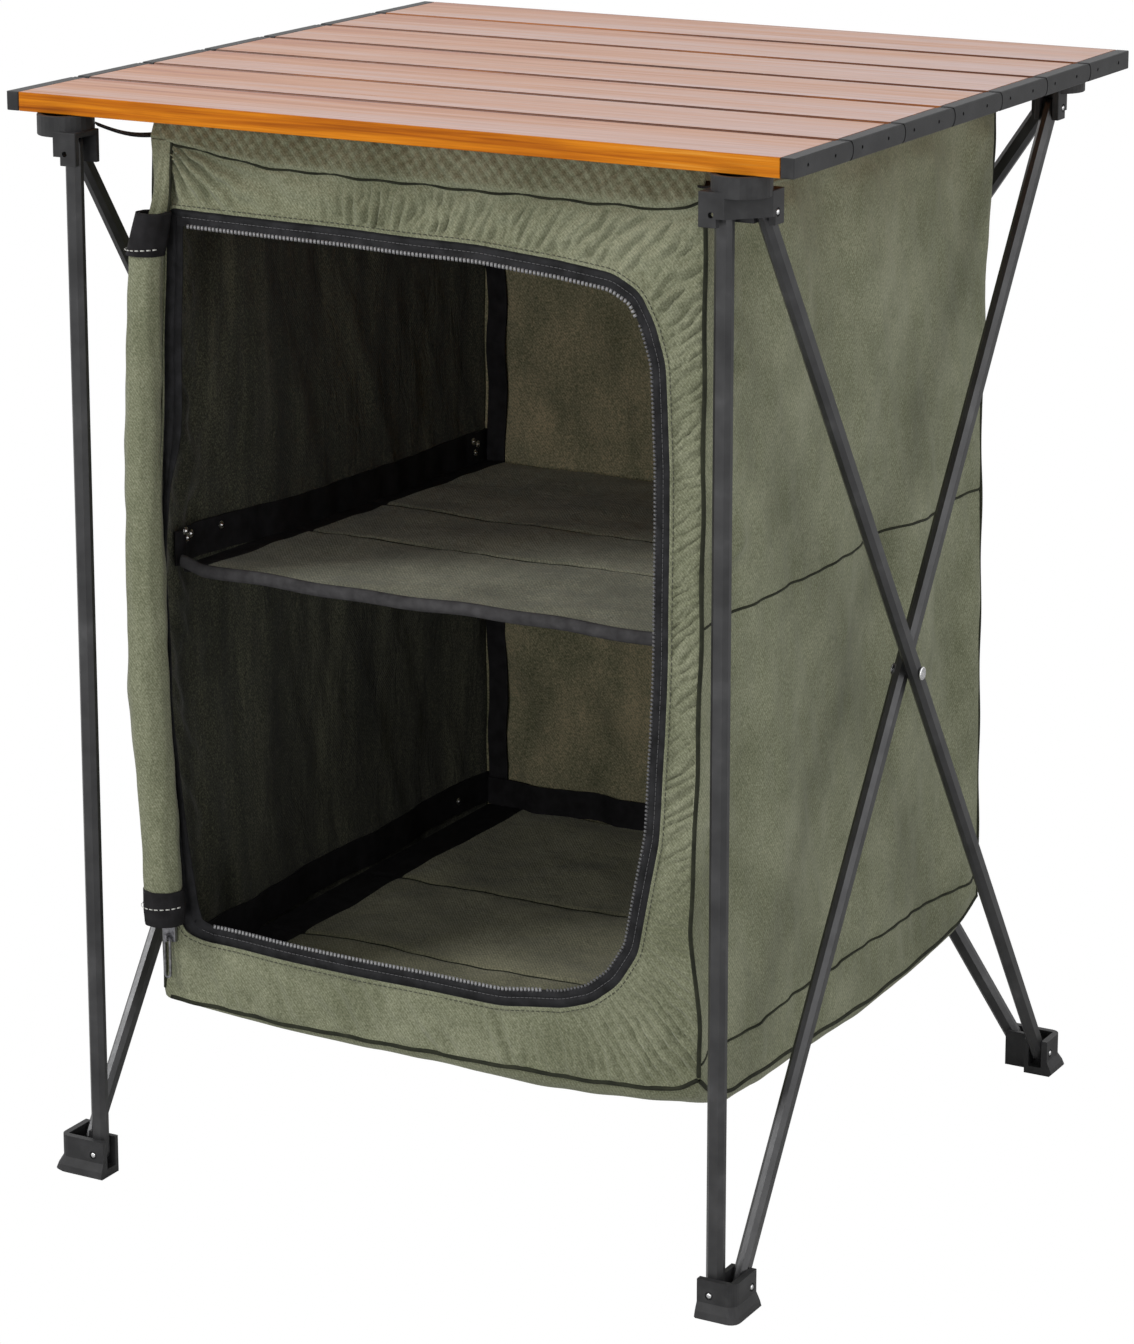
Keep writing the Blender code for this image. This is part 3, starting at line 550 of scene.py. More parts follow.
def stitches(name, path, outward, size, material):
    """Thread dashes along a path; outward is one direction or one for each point."""
    length, gap, width, lift = size
    outward = np.broadcast_to(np.asarray(outward, float), path.shape)
    reach = reach_along(path)
    points, faces = [], []
    for here in np.arange(length, reach[-1] - length, length + gap):
        spots = np.array([here - length / 2, here, here + length / 2])
        ends = sampled(spots, reach, path)
        ahead = unit(ends[2] - ends[0])
        faces += ring_faces(3, 4, len(points))
        for spot, out, rise in zip(ends, unit(sampled(spots, reach, outward)), DASH_RISE):
            side = np.cross(ahead, out) * width / 2
            points += [spot + side, spot + out * lift * rise, spot - side, spot - out * lift * DASH_ROOT]
    finish(new_mesh(name, points, faces), material, FRONT_LEFT, flatten_x)


def lathe(name, profile, place, axis, sides=18):
    """A turned solid from (radius, height) pairs; it starts and ends on its axis."""
    axis = Vector(axis).normalized()
    side = axis.orthogonal().normalized()
    other = axis.cross(side)
    points, rings = [], []
    for radius, height in profile:
        count = sides if radius else 1
        rings.append(list(range(len(points), len(points) + count)))
        for step in range(count):
            turn = step * 2 * math.pi / sides
            spoke = side * math.cos(turn) + other * math.sin(turn)
            points.append(Vector(place) + axis * height + radius * spoke)
    faces = []
    for a, b in zip(rings, rings[1:]):
        for step in range(sides):
            k = (step + 1) % sides
            if len(a) == 1:
                faces.append((a[0], b[step], b[k]))
            elif len(b) == 1:
                faces.append((a[step], b[0], a[k]))
            else:
                faces.append((a[step], b[step], b[k], a[k]))
    return closed_mesh(name, points, faces)


# Waves and folds

def wobble(a, b, seed, scale=1.0):
    """Smooth, irregular waves over two coordinates, between about -1 and 1."""
    total = np.zeros(np.broadcast(a, b).shape)
    # The large numbers only scatter the waves' directions and starts
    state = seed * 12.9898
    for step in range(7):
        state = math.sin(state * 78.233 + step * 37.719) * 43758.5453 % 6.2831
        turn = state * 1.7 + step * 0.9
        wave = scale * (0.55 + 0.16 * step)
        total += np.sin((a * math.cos(turn) + b * math.sin(turn)) * 2 * math.pi / wave + state * 3.1) / 3.2
    return total


def ripple(at, wave, shift=0.0):
    """Even waves of a given length."""
    return np.sin(at * 2 * math.pi / wave + shift)


def bell(offset, width):
    return np.exp(-(offset / width) ** 2)


def ease(values):
    """0 below 0, 1 above 1 and a soft step between."""
    values = np.clip(values, 0.0, 1.0)
    return values * values * (3 - 2 * values)


def within(values, low, high, reach):
    """1 well inside a range, falling softly to 0 at its ends."""
    return ease((values - low) / reach) * ease((high - values) / reach)


def near(a, b, centre, reach):
    return np.exp(-np.hypot(a - centre[0], b - centre[1]) / reach)


def fan(a, b, centre, count, seed, bend=1.2, reach=0.05):
    """Sharp-crested folds that run outwards from a centre."""
    turn = np.arctan2(b - centre[1], a - centre[0])
    far = np.hypot(a - centre[0], b - centre[1])
    wave = np.sin(turn * count + bend * wobble(a, b, seed, reach) + 14.0 * far)
    return np.sign(wave) * np.abs(wave) ** 0.85


def follow(at, table, soft=0.006):
    """A smoothed line through a table of places and values."""
    stops, values = zip(*table)
    return sum(np.interp(at + step, stops, values) for step in np.linspace(-soft, soft, 7)) / 7


# Outlines that the pieces share; heights and places are in metres

TOP_SEAM = ((-0.1805, 0.6285), (-0.1585, 0.6265), (-0.122, 0.6205), (-0.090, 0.6172), (0.014, 0.6158),
            (0.112, 0.6152), (0.156, 0.6145), (0.170, 0.6180), (0.1805, 0.6230))
LOW_SEAM = ((-0.1805, 0.1085), (-0.085, 0.1055), (0.037, 0.1072), (0.105, 0.1092), (0.150, 0.1122),
            (0.167, 0.1152), (0.176, 0.1205), (0.1805, 0.1245))
SIDE_LOW = ((-0.1943, 0.1245), (-0.185, 0.1130), (-0.155, 0.1032), (-0.057, 0.1000), (0.028, 0.0962),
            (0.101, 0.0985), (0.166, 0.1035), (0.1948, 0.1145))
BACK_LOW = ((-0.1805, 0.1130), (0.0, 0.1060), (0.1805, 0.1145))
LEFT_IN = ((0.10, 0.0015), (0.20, 0.0020), (0.35, 0.0040), (0.47, 0.0065), (0.64, 0.0065))
RIGHT_IN = ((0.10, 0.0), (0.155, 0.0), (0.184, 0.0035), (0.208, 0.0065), (0.230, 0.0055), (0.30, 0.0028),
            (0.40, 0.0006), (0.64, 0.0))
REAR_IN = ((0.10, 0.0), (0.25, 0.0050), (0.383, 0.0090), (0.44, 0.0125), (0.48, 0.0095), (0.53, 0.0135),
           (0.57, 0.0050), (0.60, 0.0), (0.64, 0.0))
SIDE_SEAM, HEM_TOP, FRONT_HEM_TOP = 0.6195, 0.6365, 0.6400
OPENING = ((-0.1640, 0.0655), (-0.0600, 0.0672), (0.0415, 0.0692), (0.0900, 0.0728), (0.1253, 0.0772),
           (0.1418, 0.0861), (0.1515, 0.1030), (0.1582, 0.1242), (0.1613, 0.1832), (0.1605, 0.2600),
           (0.1592, 0.3366), (0.1552, 0.3962), (0.1423, 0.4642), (0.1296, 0.4848), (0.1136, 0.4979),
           (0.0942, 0.5050), (0.0537, 0.5112), (-0.0500, 0.5105), (-0.1499, 0.5078), (-0.1640, 0.5040),
           (-0.1690, 0.4900), (-0.1740, 0.3600), (-0.1745, 0.2600), (-0.1700, 0.1500), (-0.1660, 0.0800))
OPENING_ROUNDING = 0.012
SHELF_LINE = ((-0.1943, 0.3840), (-0.1545, 0.3842), (-0.113, 0.3853), (-0.052, 0.3839), (-0.021, 0.3858),
              (0.0145, 0.3849), (0.055, 0.3867), (0.115, 0.3828), (0.1948, 0.3829))
BAND_LINE = ((-0.1943, 0.1313), (-0.1545, 0.1313), (-0.051, 0.1318), (0.047, 0.1327), (0.1695, 0.1283),
             (0.1948, 0.128))
BACK_BAND, BACK_SHELF = 0.1315, 0.3845
# A stitched groove's half width and depth, and the room that a side wall leaves at its upright edges
GROOVE_WIDTH, GROOVE_DEPTH = 0.0012, 0.0009
EDGE_ROOM = 0.0018
# How far a hem strip leans in at its top, and how many rows of points it has
HEM_LEAN, HEM_ROWS = 0.010, 18


def opening_outline(count):
    """The door opening's edge as evenly spaced (x, z) points, going clockwise from the top left."""
    corners = np.array([(x, HEIGHT - d) for x, d in OPENING])
    closed = np.vstack([corners, corners[:1]])
    reach = reach_along(closed)
    points = sampled(np.linspace(0.0, reach[-1], count, endpoint=False), reach, closed)
    window = max(3, int(OPENING_ROUNDING / (reach[-1] / count)) | 1)
    return sum(np.roll(points, step - window // 2, axis=0) for step in range(window)) / window


def inward(points):
    """Unit normals of a closed (x, z) outline, towards its middle."""
    ahead = unit(np.roll(points, -1, axis=0) - np.roll(points, 1, axis=0))
    normal = np.stack([ahead[:, 1], -ahead[:, 0]], axis=1)
    return normal * np.sign(np.sum(normal * (points.mean(axis=0) - points)))


# Front panel

def front_edge(x, z):
    """How far the canvas stands off its plane along the opening's edge."""
    return 0.0010 * wobble(x, z, 5, 0.11)


def front_relief(x, z):
    """How far the front canvas stands proud of its plane."""
    total = 0.0009 * wobble(x, z, 3, 0.085) + 0.0005 * wobble(x, z, 8, 0.022)
    patchy = 0.65 + 0.45 * wobble(x, z, 15, 0.05)
    # Fine folds that fan out above the opening, coarse ones in the upper left corner
    over = ease((z - 0.545) / 0.03) * ease((x + 0.085) / 0.05)
    total += 0.0016 * over * patchy * fan(x, z, (-0.06, 0.440), 118, 21, 2.4, 0.032)
    total += 0.0007 * over * fan(x, z, (-0.03, 0.420), 205, 24, 2.0, 0.030)
    left = ease((z - 0.575) / 0.01) * near(x, z, (-0.165, 0.628), 0.060)
    total += 0.0042 * left * fan(x, z, (-0.170, 0.632), 26, 22, 0.9, 0.03)
    # Slanting ripples down the right side, and a fan in its lower corner
    side = ease((x - 0.150) / 0.01) * ease((z - 0.20) / 0.08)
    slant = z - 0.75 * x
    total += 0.0012 * side * patchy * ripple(slant, 0.0078, 2.2 * wobble(x, z, 25, 0.030))
    total += 0.00035 * side * ripple(slant, 0.0041, 2.0 * wobble(x, z, 26, 0.020))
    corner = near(x, z, (0.165, 0.135), 0.045)
    total += 0.0026 * corner * fan(x, z, (0.060, 0.235), 120, 27, 1.4, 0.03)
    # Ripples below the opening
    under = ease((0.152 - z) / 0.015)
    lean = x + 0.5 * (z - 0.13)
    return total + 0.0013 * under * patchy * ripple(lean, 0.0190, 2.2 * wobble(x, z, 11, 0.06))


def rounded(x):
    """How far the front canvas curves back at the cupboard's upright edges."""
    edge = np.maximum(np.abs(x) - (HALF - 0.006), 0.0)
    return edge * edge * 50


def make_front():
    """The front panel, as rings of points from the opening's edge out to its seams."""
    count, rows = 1300, 36
    inner = opening_outline(count)
    middle = np.array([(OPEN_LEFT + OPEN_RIGHT) / 2, (OPEN_TOP + OPEN_BOTTOM) / 2])
    half = np.array([(OPEN_RIGHT - OPEN_LEFT) / 2, (OPEN_TOP - OPEN_BOTTOM) / 2])
    share = (inner - middle) / half
    share = share / np.abs(share).max(axis=1, keepdims=True)
    x = share[:, 0] * HALF
    up, down = np.maximum(share[:, 1], 0.0), np.maximum(-share[:, 1], 0.0)
    z = middle[1] + up * (follow(x, TOP_SEAM) - middle[1]) - down * (middle[1] - follow(x, LOW_SEAM))
    drawn_right = follow(z, RIGHT_IN) * ease((x - 0.165) / 0.0155)
    drawn_left = follow(z, LEFT_IN) * ease((-0.165 - x) / 0.0155)
    outer = np.stack([np.where(x > 0, x - drawn_right, x + drawn_left), z], axis=1)
    grid = np.zeros((rows, count, 3))
    for i in range(rows):
        t = i / (rows - 1)
        x, z = (inner + (outer - inner) * t).T
        mask = ease(t / 0.20) * ease((1 - t) / 0.12)
        lip = 0.0008 * bell(t - 0.03, 0.05)
        proud = front_relief(x, z) * mask + (front_edge(x, z) * (1 - ease(t / 0.3)) + lip)
        grid[i] = places(x, FRONT - proud + rounded(x), z)
    thing = cloth("canvas_front", grid, FORWARD, True)
    finish(thing, CANVAS, FRONT_LEFT, flatten_x, CANVAS_ANGLE, LINING)
    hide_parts("bag_front")


def wall_grid(a, b, place):
    """A grid of points from two coordinate lists and a function of both."""
    return places(*place(*np.meshgrid(a, b)))


def shares(count):
    return np.linspace(0.0, 1.0, count)


def hem_strip(name, columns, place, out, body, flatten):
    """A strip of canvas above a wall's top seam; place gives its points from two shares."""
    strip = cloth(name, wall_grid(shares(columns), shares(HEM_ROWS), place), out)
    finish(strip, CANVAS, body, flatten, CANVAS_ANGLE, LINING)
    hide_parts("top_hem_and_straps")


def hem_crumple(along, share, seed):
    """The gathers of a side or back hem."""
    folds = ripple(along, 0.012, 2.0 * wobble(along, share * 0.02, seed, 0.05))
    return 0.0009 * folds * within(share, 0.0, 1.3, 0.3)


def make_front_hem():
    """The gathered strip above the front seam, in the tabletop's shadow."""
    def place(share_x, share):
        x = -HALF + 0.0065 + share_x * (2 * HALF - 0.0070)
        low = follow(x, TOP_SEAM)
        z = low + share * (FRONT_HEM_TOP - low)
        folds = ripple(x + 0.9 * z, 0.0082, 1.9 * wobble(x, z, 51, 0.05))
        folds += 0.7 * ease(share / 0.5) * ripple(x - 1.1 * z, 0.0098, 1.6 * wobble(x, z, 55, 0.04))
        mask = within(share, 0.0, 1.4, 0.25) * within(share_x, 0.0, 1.0, 0.02)
        swell = 0.0034 * ease(share / 0.16) * (1 - 0.55 * share)
        proud = mask * (0.0009 * folds + 0.0005 * wobble(x, z, 53, 0.014))
        return x, FRONT + 0.0002 + 0.0040 * share - swell - proud, z

    hem_strip("canvas_front_hem", 360, place, FORWARD, FRONT_LEFT, flatten_x)


# Side and back walls

SIDE_SEED = {-1: 17, 1: 23}


def side_x(y, z, sign):
    """Where a side wall's plane stands, drawn in near the front by its corner seam."""
    table = RIGHT_IN if sign > 0 else LEFT_IN
    return HALF - follow(z, table) * ease((-0.150 - y) / 0.045)


def side_relief(y, z, sign):
    """How far a side wall stands proud of its plane: big soft folds, buckles and gathers."""
    seed = SIDE_SEED[sign]
    low = follow(y, SIDE_LOW)
    mask = within((y - FRONT) / (BACK - FRONT), 0.0, 1.0, 0.05)
    mask = mask * within((z - low) / (SIDE_SEAM - low), 0.0, 1.0, 0.03)
    proud = 0.0044 * wobble(y, z * 0.20, seed, 0.095) + 0.0010 * wobble(y, z * 0.5, seed + 3, 0.030)
    # The crumpled strip and the upright ridge beside the front edge
    strip = ease((-0.140 - y) / 0.025)
    proud += 0.0013 * strip * wobble(y, z * 0.8, seed + 11, 0.019)
    ridge = bell(y + 0.158 + 0.004 * wobble(z, 0.0, seed + 4, 0.10), 0.010)
    proud += 0.0034 * ridge * within(z, 0.30, 0.60, 0.08) * wobble(z, y, seed + 6, 0.05)
    # Fans in both upper corners, and gathers along the top and the bottom seam
    proud += 0.0012 * near(y, z, (FRONT + 0.005, 0.610), 0.035) * fan(y, z, (FRONT, 0.63), 24, seed + 8)
    proud += 0.0008 * near(y, z, (BACK - 0.005, 0.610), 0.035) * fan(y, z, (BACK, 0.63), 24, seed + 9)
    gather = 0.55 * ease((0.132 - z) / 0.012) + 0.5 * ease((z - 0.604) / 0.012)
    proud += 0.0007 * gather * ripple(y, 0.021, 2.0 * wobble(y, z, seed + 5, 0.08))
    return proud * mask


def side_surface(y, z, sign):
    return side_x(y, z, sign) + side_relief(y, z, sign)


def rear_y(x, z):
    """Where the back wall's plane stands, drawn in near its right edge."""
    return BACK - follow(z, REAR_IN) * ease((x - 0.110) / 0.070)


def make_side(word, sign, body):
    """A side wall with soft upright folds, its lower band and the hem that leans in under the tabletop."""
    def place(share_y, share):
        y = FRONT + share_y * (BACK - FRONT)
        low = follow(y, SIDE_LOW)
        z = low + share * (SIDE_SEAM - low)
        y = FRONT + EDGE_ROOM + share_y * (rear_y(sign * HALF, z) - FRONT - 2 * EDGE_ROOM)
        groove = bell(z - follow(y, BAND_LINE), GROOVE_WIDTH)
        groove = groove + 0.8 * bell(z - follow(y, SHELF_LINE), GROOVE_WIDTH)
        return sign * (side_surface(y, z, sign) - GROOVE_DEPTH * groove), y, z

    def hem(share_y, share):
        y = FRONT + EDGE_ROOM + share_y * (BACK - FRONT - 2 * EDGE_ROOM)
        z = SIDE_SEAM + share * (HEM_TOP - SIDE_SEAM)
        crumple = hem_crumple(y, share, SIDE_SEED[sign] + 7)
        return sign * (side_x(y, z, sign) - HEM_LEAN * share + crumple), y, z

    thing = cloth(f"canvas_{word}", wall_grid(shares(170), shares(210), place), (sign, 0, 0))
    # The inside takes the lining's darker copy: painted shade
    finish(thing, CANVAS, body, flatten_y, CANVAS_ANGLE, LINING_PAINTED_SHADE)
    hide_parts(f"bag_{word}")
    hem_strip(f"canvas_{word}_hem", 170, hem, (sign, 0, 0), body, flatten_y)


def back_relief(x, z):
    """How far the back wall stands proud of its plane."""
    low = follow(x, BACK_LOW)
    mask = within((x + HALF) / (2 * HALF), 0.0, 1.0, 0.05)
    mask = mask * within((z - low) / (SIDE_SEAM - low), 0.0, 1.0, 0.03)
    proud = 0.0034 * wobble(x + 0.5 * z, z, 31, 0.13) + 0.0014 * wobble(x, z, 33, 0.05)
    proud += 0.0016 * wobble(x + 0.35 * z, z * 0.3, 37, 0.042)
    proud += 0.0005 * wobble(x - 0.4 * z, z * 0.5, 39, 0.016)
    return mask * (proud + 0.0012 * fan(x, z, (HALF, 0.60), 24, 35) * near(x, z, (HALF, 0.60), 0.06))


def back_surface(x, z):
    return rear_y(x, z) + back_relief(x, z)


def make_back():
    """The back wall and its hem."""
    def place(share_x, share):
        x = -HALF + 0.0006 + share_x * (2 * HALF - 0.0012)
        low = follow(x, BACK_LOW)
        z = low + share * (SIDE_SEAM - low)
        groove = bell(z - BACK_BAND, GROOVE_WIDTH) + 0.7 * bell(z - BACK_SHELF, 0.0011)
        return x, back_surface(x, z) - GROOVE_DEPTH * groove, z

    def hem(share_x, share):
        x = -HALF + share_x * 2 * HALF
        z = SIDE_SEAM + share * (HEM_TOP - SIDE_SEAM)
        return x, BACK - HEM_LEAN * share + hem_crumple(x, share, 41), z

    thing = cloth("canvas_back", wall_grid(shares(150), shares(190), place), (0, 1, 0))
    # The inside takes the lining's lighter copy: painted light
    finish(thing, CANVAS, REAR_LEFT, flatten_x, CANVAS_ANGLE, LINING_PAINTED_LIGHT)
    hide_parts("bag_back")
    hem_strip("canvas_back_hem", 150, hem, (0, 1, 0), REAR_LEFT, flatten_x)


# Boards and bottom, in bands between the folds: where a band starts and ends, and the body that it follows

SHELF_BANDS = ((SHELF_FRONT, -0.097, FRONT_LEFT), (-0.097, 0.0, "left_inner_bar"),
               (0.0, 0.100, "left_outer_bar"), (0.100, 0.1835, REAR_LEFT))
FLOOR_BANDS = ((-0.1920, -0.100, FRONT_LEFT), (-0.100, 0.0, "left_outer_bar"),
               (0.0, 0.100, "left_inner_bar"), (0.100, 0.1885, REAR_LEFT))
# A crease's place and slant across a board
SHELF_CREASES = ((-0.051, 0.02), (0.030, -0.02))
FLOOR_CREASES = ((-0.088, 0.0), (0.033, 0.03))
# How far the bottom bulges below the front seam
LIP = ((-0.1805, 0.0035), (-0.10, 0.0060), (0.0, 0.0080), (0.09, 0.0105), (0.1805, 0.0110))
SHELF_HALF, FLOOR_HALF = 0.1742, 0.1750
BINDING_SIDES = 18


def shelf_level(x, y):
    """The shelf hangs lower at the back."""
    return SHELF_TOP - 0.0105 * (y - SHELF_FRONT) / (0.1925 - SHELF_FRONT)


def floor_level(x, y):
    return FLOOR_TOP


def bottom_level(x, y):
    """The bottom panel hangs from the seams of the four walls and bulges a little below them."""
    u, v = (x + HALF) / (2 * HALF), (y - FRONT) / (BACK - FRONT)
    front, back = follow(x, LOW_SEAM), follow(x, BACK_LOW)
    along = follow(y, SIDE_LOW)
    ends = np.minimum(v, 1 - v) / np.maximum(np.minimum(u, 1 - u) + np.minimum(v, 1 - v), 1e-6)
    base = ((1 - v) * front + v * back) * (1 - ease(ends)) + along * ease(ends)
    inside = np.minimum(np.minimum(u, 1 - u) * 2 * HALF, np.minimum(v, 1 - v) * (BACK - FRONT))
    depth = (1 - v) * follow(x, LIP) + v * 0.0090
    return base - depth * (1 - np.exp(-inside / 0.0036))


def crease_line(crease, x):
    place, slant = crease
    return place + slant * x + 0.0015 * np.sin(x * 40.0)


def board(name, span, level, thick, half, material, body, node, creases, seed, border=0.0, puff=0.0009):
    """One band of a cloth-covered board between two folds; it follows one body."""
    low, high = span
    columns = np.sin(np.linspace(-math.pi / 2, math.pi / 2, 130)) * half
    rows = np.linspace(low, high, max(8, int((high - low) / 0.0020)))

    def surface(x, y):
        rise = puff * wobble(x, y, seed, 0.11) + puff * 0.4 * wobble(x, y, seed + 2, 0.035)
        for crease in creases:
            rise -= 0.0014 * bell(y - crease_line(crease, x), 0.0022)
        return level(x, y) + rise * within(x, -half, half, 0.010) * within(y, FRONT, BACK, 0.012)

    over = wall_grid(columns, rows, lambda x, y: (x, y, surface(x, y)))
    under = over - np.array([0.0, 0.0, thick])
    points = np.concatenate([over.reshape(-1, 3), under.reshape(-1, 3)])
    thing = new_mesh(name, points, shell_faces(*over.shape[:2]))
    finish(thing, material, body, flatten_x, BAND_ANGLE)
    if border:
        thing.data.materials.append(WEBBING)
        for face in thing.data.polygons:
            if abs(face.center.x) > half - border:
                face.material_index = 1
    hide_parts(node)
    # A dark cord along each crease: partly a stitched line, partly painted shade of the fold
    for number, crease in enumerate(creases, 1):
        if low < crease[0] < high:
            x = np.linspace(border - half, half - border, 120)
            y = crease_line(crease, x)
            path = places(x, y, surface(x, y) + 0.0002)
            seam_cord(f"{name}_crease_{number}", path, CREASE_RADIUS, body, flatten_x)
    return thing


def make_boards():
    """The shelf, the floor board, and the bottom panel below it."""
    for count, (low, high, body) in enumerate(SHELF_BANDS, 1):
        board(f"shelf_{count}", (low, high), shelf_level, BOARD_THICK, SHELF_HALF, BOARD_CLOTH, body,
              "shelf_board", SHELF_CREASES, 61, 0.015)
    for count, (low, high, body) in enumerate(FLOOR_BANDS, 1):
        # The floor board takes the board cloth's lighter copy: painted light
        board(f"floor_{count}", (low, high), floor_level, BOARD_THICK, FLOOR_HALF, BOARD_CLOTH_PAINTED_LIGHT, body,
              "floor_board", FLOOR_CREASES, 71, 0.026)
        wide = (FRONT + 0.0006 if count == 1 else low, BACK - 0.0010 if count == 4 else high)
        sheet = board(f"canvas_bottom_{count}", wide, bottom_level, BOTTOM_THICK, HALF - 0.0002, CANVAS, body,
                      "bag_bottom", (), 81, 0.0, 0.0012)


def make_shelf_binding():
    """The grey binding sewn over the shelf's front edge; it lifts at its left end."""
    x = np.linspace(-0.1748, 0.1748, 180)[:, None]
    turn = np.linspace(0, 2 * math.pi, BINDING_SIDES, endpoint=False)
    sag = 0.0007 * np.sin(x * 33.0) + 0.0004 * np.sin(x * 95.0)
    lift = 0.0040 * ease((-0.158 - x) / 0.018)
    y = SHELF_FRONT - 0.0006 + 0.0028 * np.cos(turn)
    points = places(x, y, SHELF_TOP - 0.0022 + sag + lift + 0.0040 * np.sin(turn)).reshape(-1, 3)
    thing = closed_mesh("shelf_binding", points, ring_faces(len(x), BINDING_SIDES))
    finish(thing, BINDING, FRONT_LEFT, flatten_x, TRIM_ANGLE)


# Webbing and snaps

# The heights at which the webbing follows the walls, and half the width of the wide webbing
SHELF_WEBBING, FLOOR_WEBBING = 0.38, 0.131
WIDE_HALF = 0.0105
SNAP_PROFILE = ((0, -0.0004), (0.0022, -0.0002), (0.0026, 0.0004), (0.0018, 0.0009), (0.0012, 0.0006),
                (0.0008, 0.0014), (0, 0.0017))
# Places of the snaps, as (y, z)
SHELF_SNAPS = ((-0.1645, 0.3895), (-0.1535, 0.3850), (-0.1590, 0.3838), (-0.1240, 0.3840),
               (0.1700, 0.3760), (0.1745, 0.3735), (0.1720, 0.3680))
FLOOR_SNAPS = ((0.1500, 0.1330), (-0.1560, 0.1330))


def band(name, path, wide, body, node, flatten=None, out=(0, 0, 1)):
    """A flat band of webbing: a path of points, and the direction and half width that it spreads in."""
    wide = np.broadcast_to(np.asarray(wide, float), path.shape)
    grid = np.stack([path + wide * share for share in np.linspace(-1.0, 1.0, 7)], axis=1)
    thing = cloth(name, grid, out)
    finish(thing, WEBBING, body, flatten, BAND_ANGLE)
    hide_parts(node)


def make_webbing():
    """Webbing on the walls beside the shelf, up and down the rear corners, and around the floor."""
    for word, sign, body in SIDES:
        node, inside = f"shelf_webbing_{word}", (-sign, 0, 0)
        y = np.linspace(SHELF_FRONT, float(rear_y(sign * HALF, SHELF_WEBBING)) - 0.0045, 90)
        x = sign * (side_surface(y, SHELF_WEBBING + 0 * y, sign) - 0.0038)
        z = shelf_level(x, y) + 0.0095 + 0.0005 * np.sin(y * 45)
        band(f"shelf_webbing_side_{word}", places(x, y, z), (0, 0, WIDE_HALF), body, node, flatten_y, inside)
        z = np.linspace(0.121, 0.604, 120)
        x = np.full(120, sign * (HALF - 0.0112))
        band(f"corner_webbing_{word}", places(x, back_surface(x, z) - 0.0032, z), (0.0070, 0, 0), body, node,
             flatten_x if sign < 0 else flatten_y, FORWARD)
        y = np.linspace(-0.190, BACK - 0.0030, 90)
        x = sign * (side_surface(y, FLOOR_WEBBING + 0 * y, sign) - 0.0032)
        band(f"floor_webbing_{word}", places(x, y, 0.1320), (0, 0, WIDE_HALF), body, "floor_webbing",
             flatten_y, inside)
    x = np.linspace(-0.176, 0.176, 90)
    y = back_surface(x, 0.13 + 0 * x) - 0.0042
    band("floor_webbing_back", places(x, y, 0.1300), (0, 0, 0.0095), REAR_LEFT, "floor_webbing",
         flatten_x, FORWARD)


def make_snaps():
    """Snap fasteners of the left wall's webbing, near the shelf's front and rear ends and at the floor."""
    y, z = np.array(SHELF_SNAPS).T
    x = 0.0044 - side_surface(y, SHELF_WEBBING + 0 * y, -1)
    spots = list(zip(x, y, z)) + [(-0.1765, y, z) for y, z in FLOOR_SNAPS]
    for count, spot in enumerate(spots, 1):
        snap = lathe(f"snap_{count}", SNAP_PROFILE, spot, (1, 0, 0))
        finish(snap, RIVET, REAR_LEFT, flatten_y, TRIM_ANGLE)


# The rolled door

# Where the roll's middle stands, the step from one turn to the next, and the room for its creases
ROLL_Y = FRONT - 0.0122
TURN_STEP, CREASE_ROOM = 0.00144, 0.0006
# Stations down the roll and its hems, as (z, x, radius)
ROLL_PATH = ((0.5630, -0.1732, 0.0109), (0.4500, -0.1785, 0.0112), (0.3800, -0.1783, 0.0124),
             (0.3000, -0.1780, 0.0130), (0.2220, -0.1727, 0.0124), (0.1800, -0.1710, 0.0122))
TOP_RING = ((0.5880, -0.1672, 0.0112), (0.5760, -0.1700, 0.0120), (0.5630, -0.1732, 0.0122))
LOW_RING = ((0.1815, -0.1706, 0.0132), (0.1700, -0.1702, 0.0138), (0.1600, -0.1702, 0.0128))
HEM_STITCHES = (("hem_stitches_top", 0.5668, -0.1724, 0.0124),
                ("hem_stitches_bottom", 0.1715, -0.1702, 0.0138))
HEM_DASH = (0.0024, 0.0012, 0.0008, 0.0005)


def wound(name, stations, material, node, core=0.0030, seed=91):
    """Cloth wound in a spiral through its stations, from its core out to its last turn."""
    high, low = stations[0][0], stations[-1][0]
    heights = np.linspace(high, low, max(8, int((high - low) / 0.0040)))
    table = np.array(stations)[::-1]
    radius = float(np.mean(table[:, 2]))
    last = 0.22 * 2 * math.pi
    turns = (radius - CREASE_ROOM - core) / TURN_STEP
    turn = np.linspace(last - turns * 2 * math.pi, last, int(turns * 34))
    grid = np.zeros((len(heights), len(turn), 3))
    for i, z in enumerate(heights):
        x, reach = (float(np.interp(z, table[:, 0], table[:, k])) for k in (1, 2))
        creases = 0.0005 * wobble(np.cos(turn) * 0.012, z + 0.012 * np.sin(turn), seed, 0.05)
        creases += 0.00035 * np.sin(turn * 8 + 2.0 * math.sin(z * 38))
        layer = reach - CREASE_ROOM - TURN_STEP * (last + 0.05 * math.sin(z * 30) - turn) / (2 * math.pi)
        layer += creases * layer / reach
        grid[i] = places(x + layer * np.cos(turn), ROLL_Y + layer * 0.92 * np.sin(turn), z)
    thing = cloth(name, grid, (0, 0, 1), False, TAPE_THICK)
    finish(thing, material, FRONT_LEFT, flatten_x, TRIM_ANGLE)
    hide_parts(node)


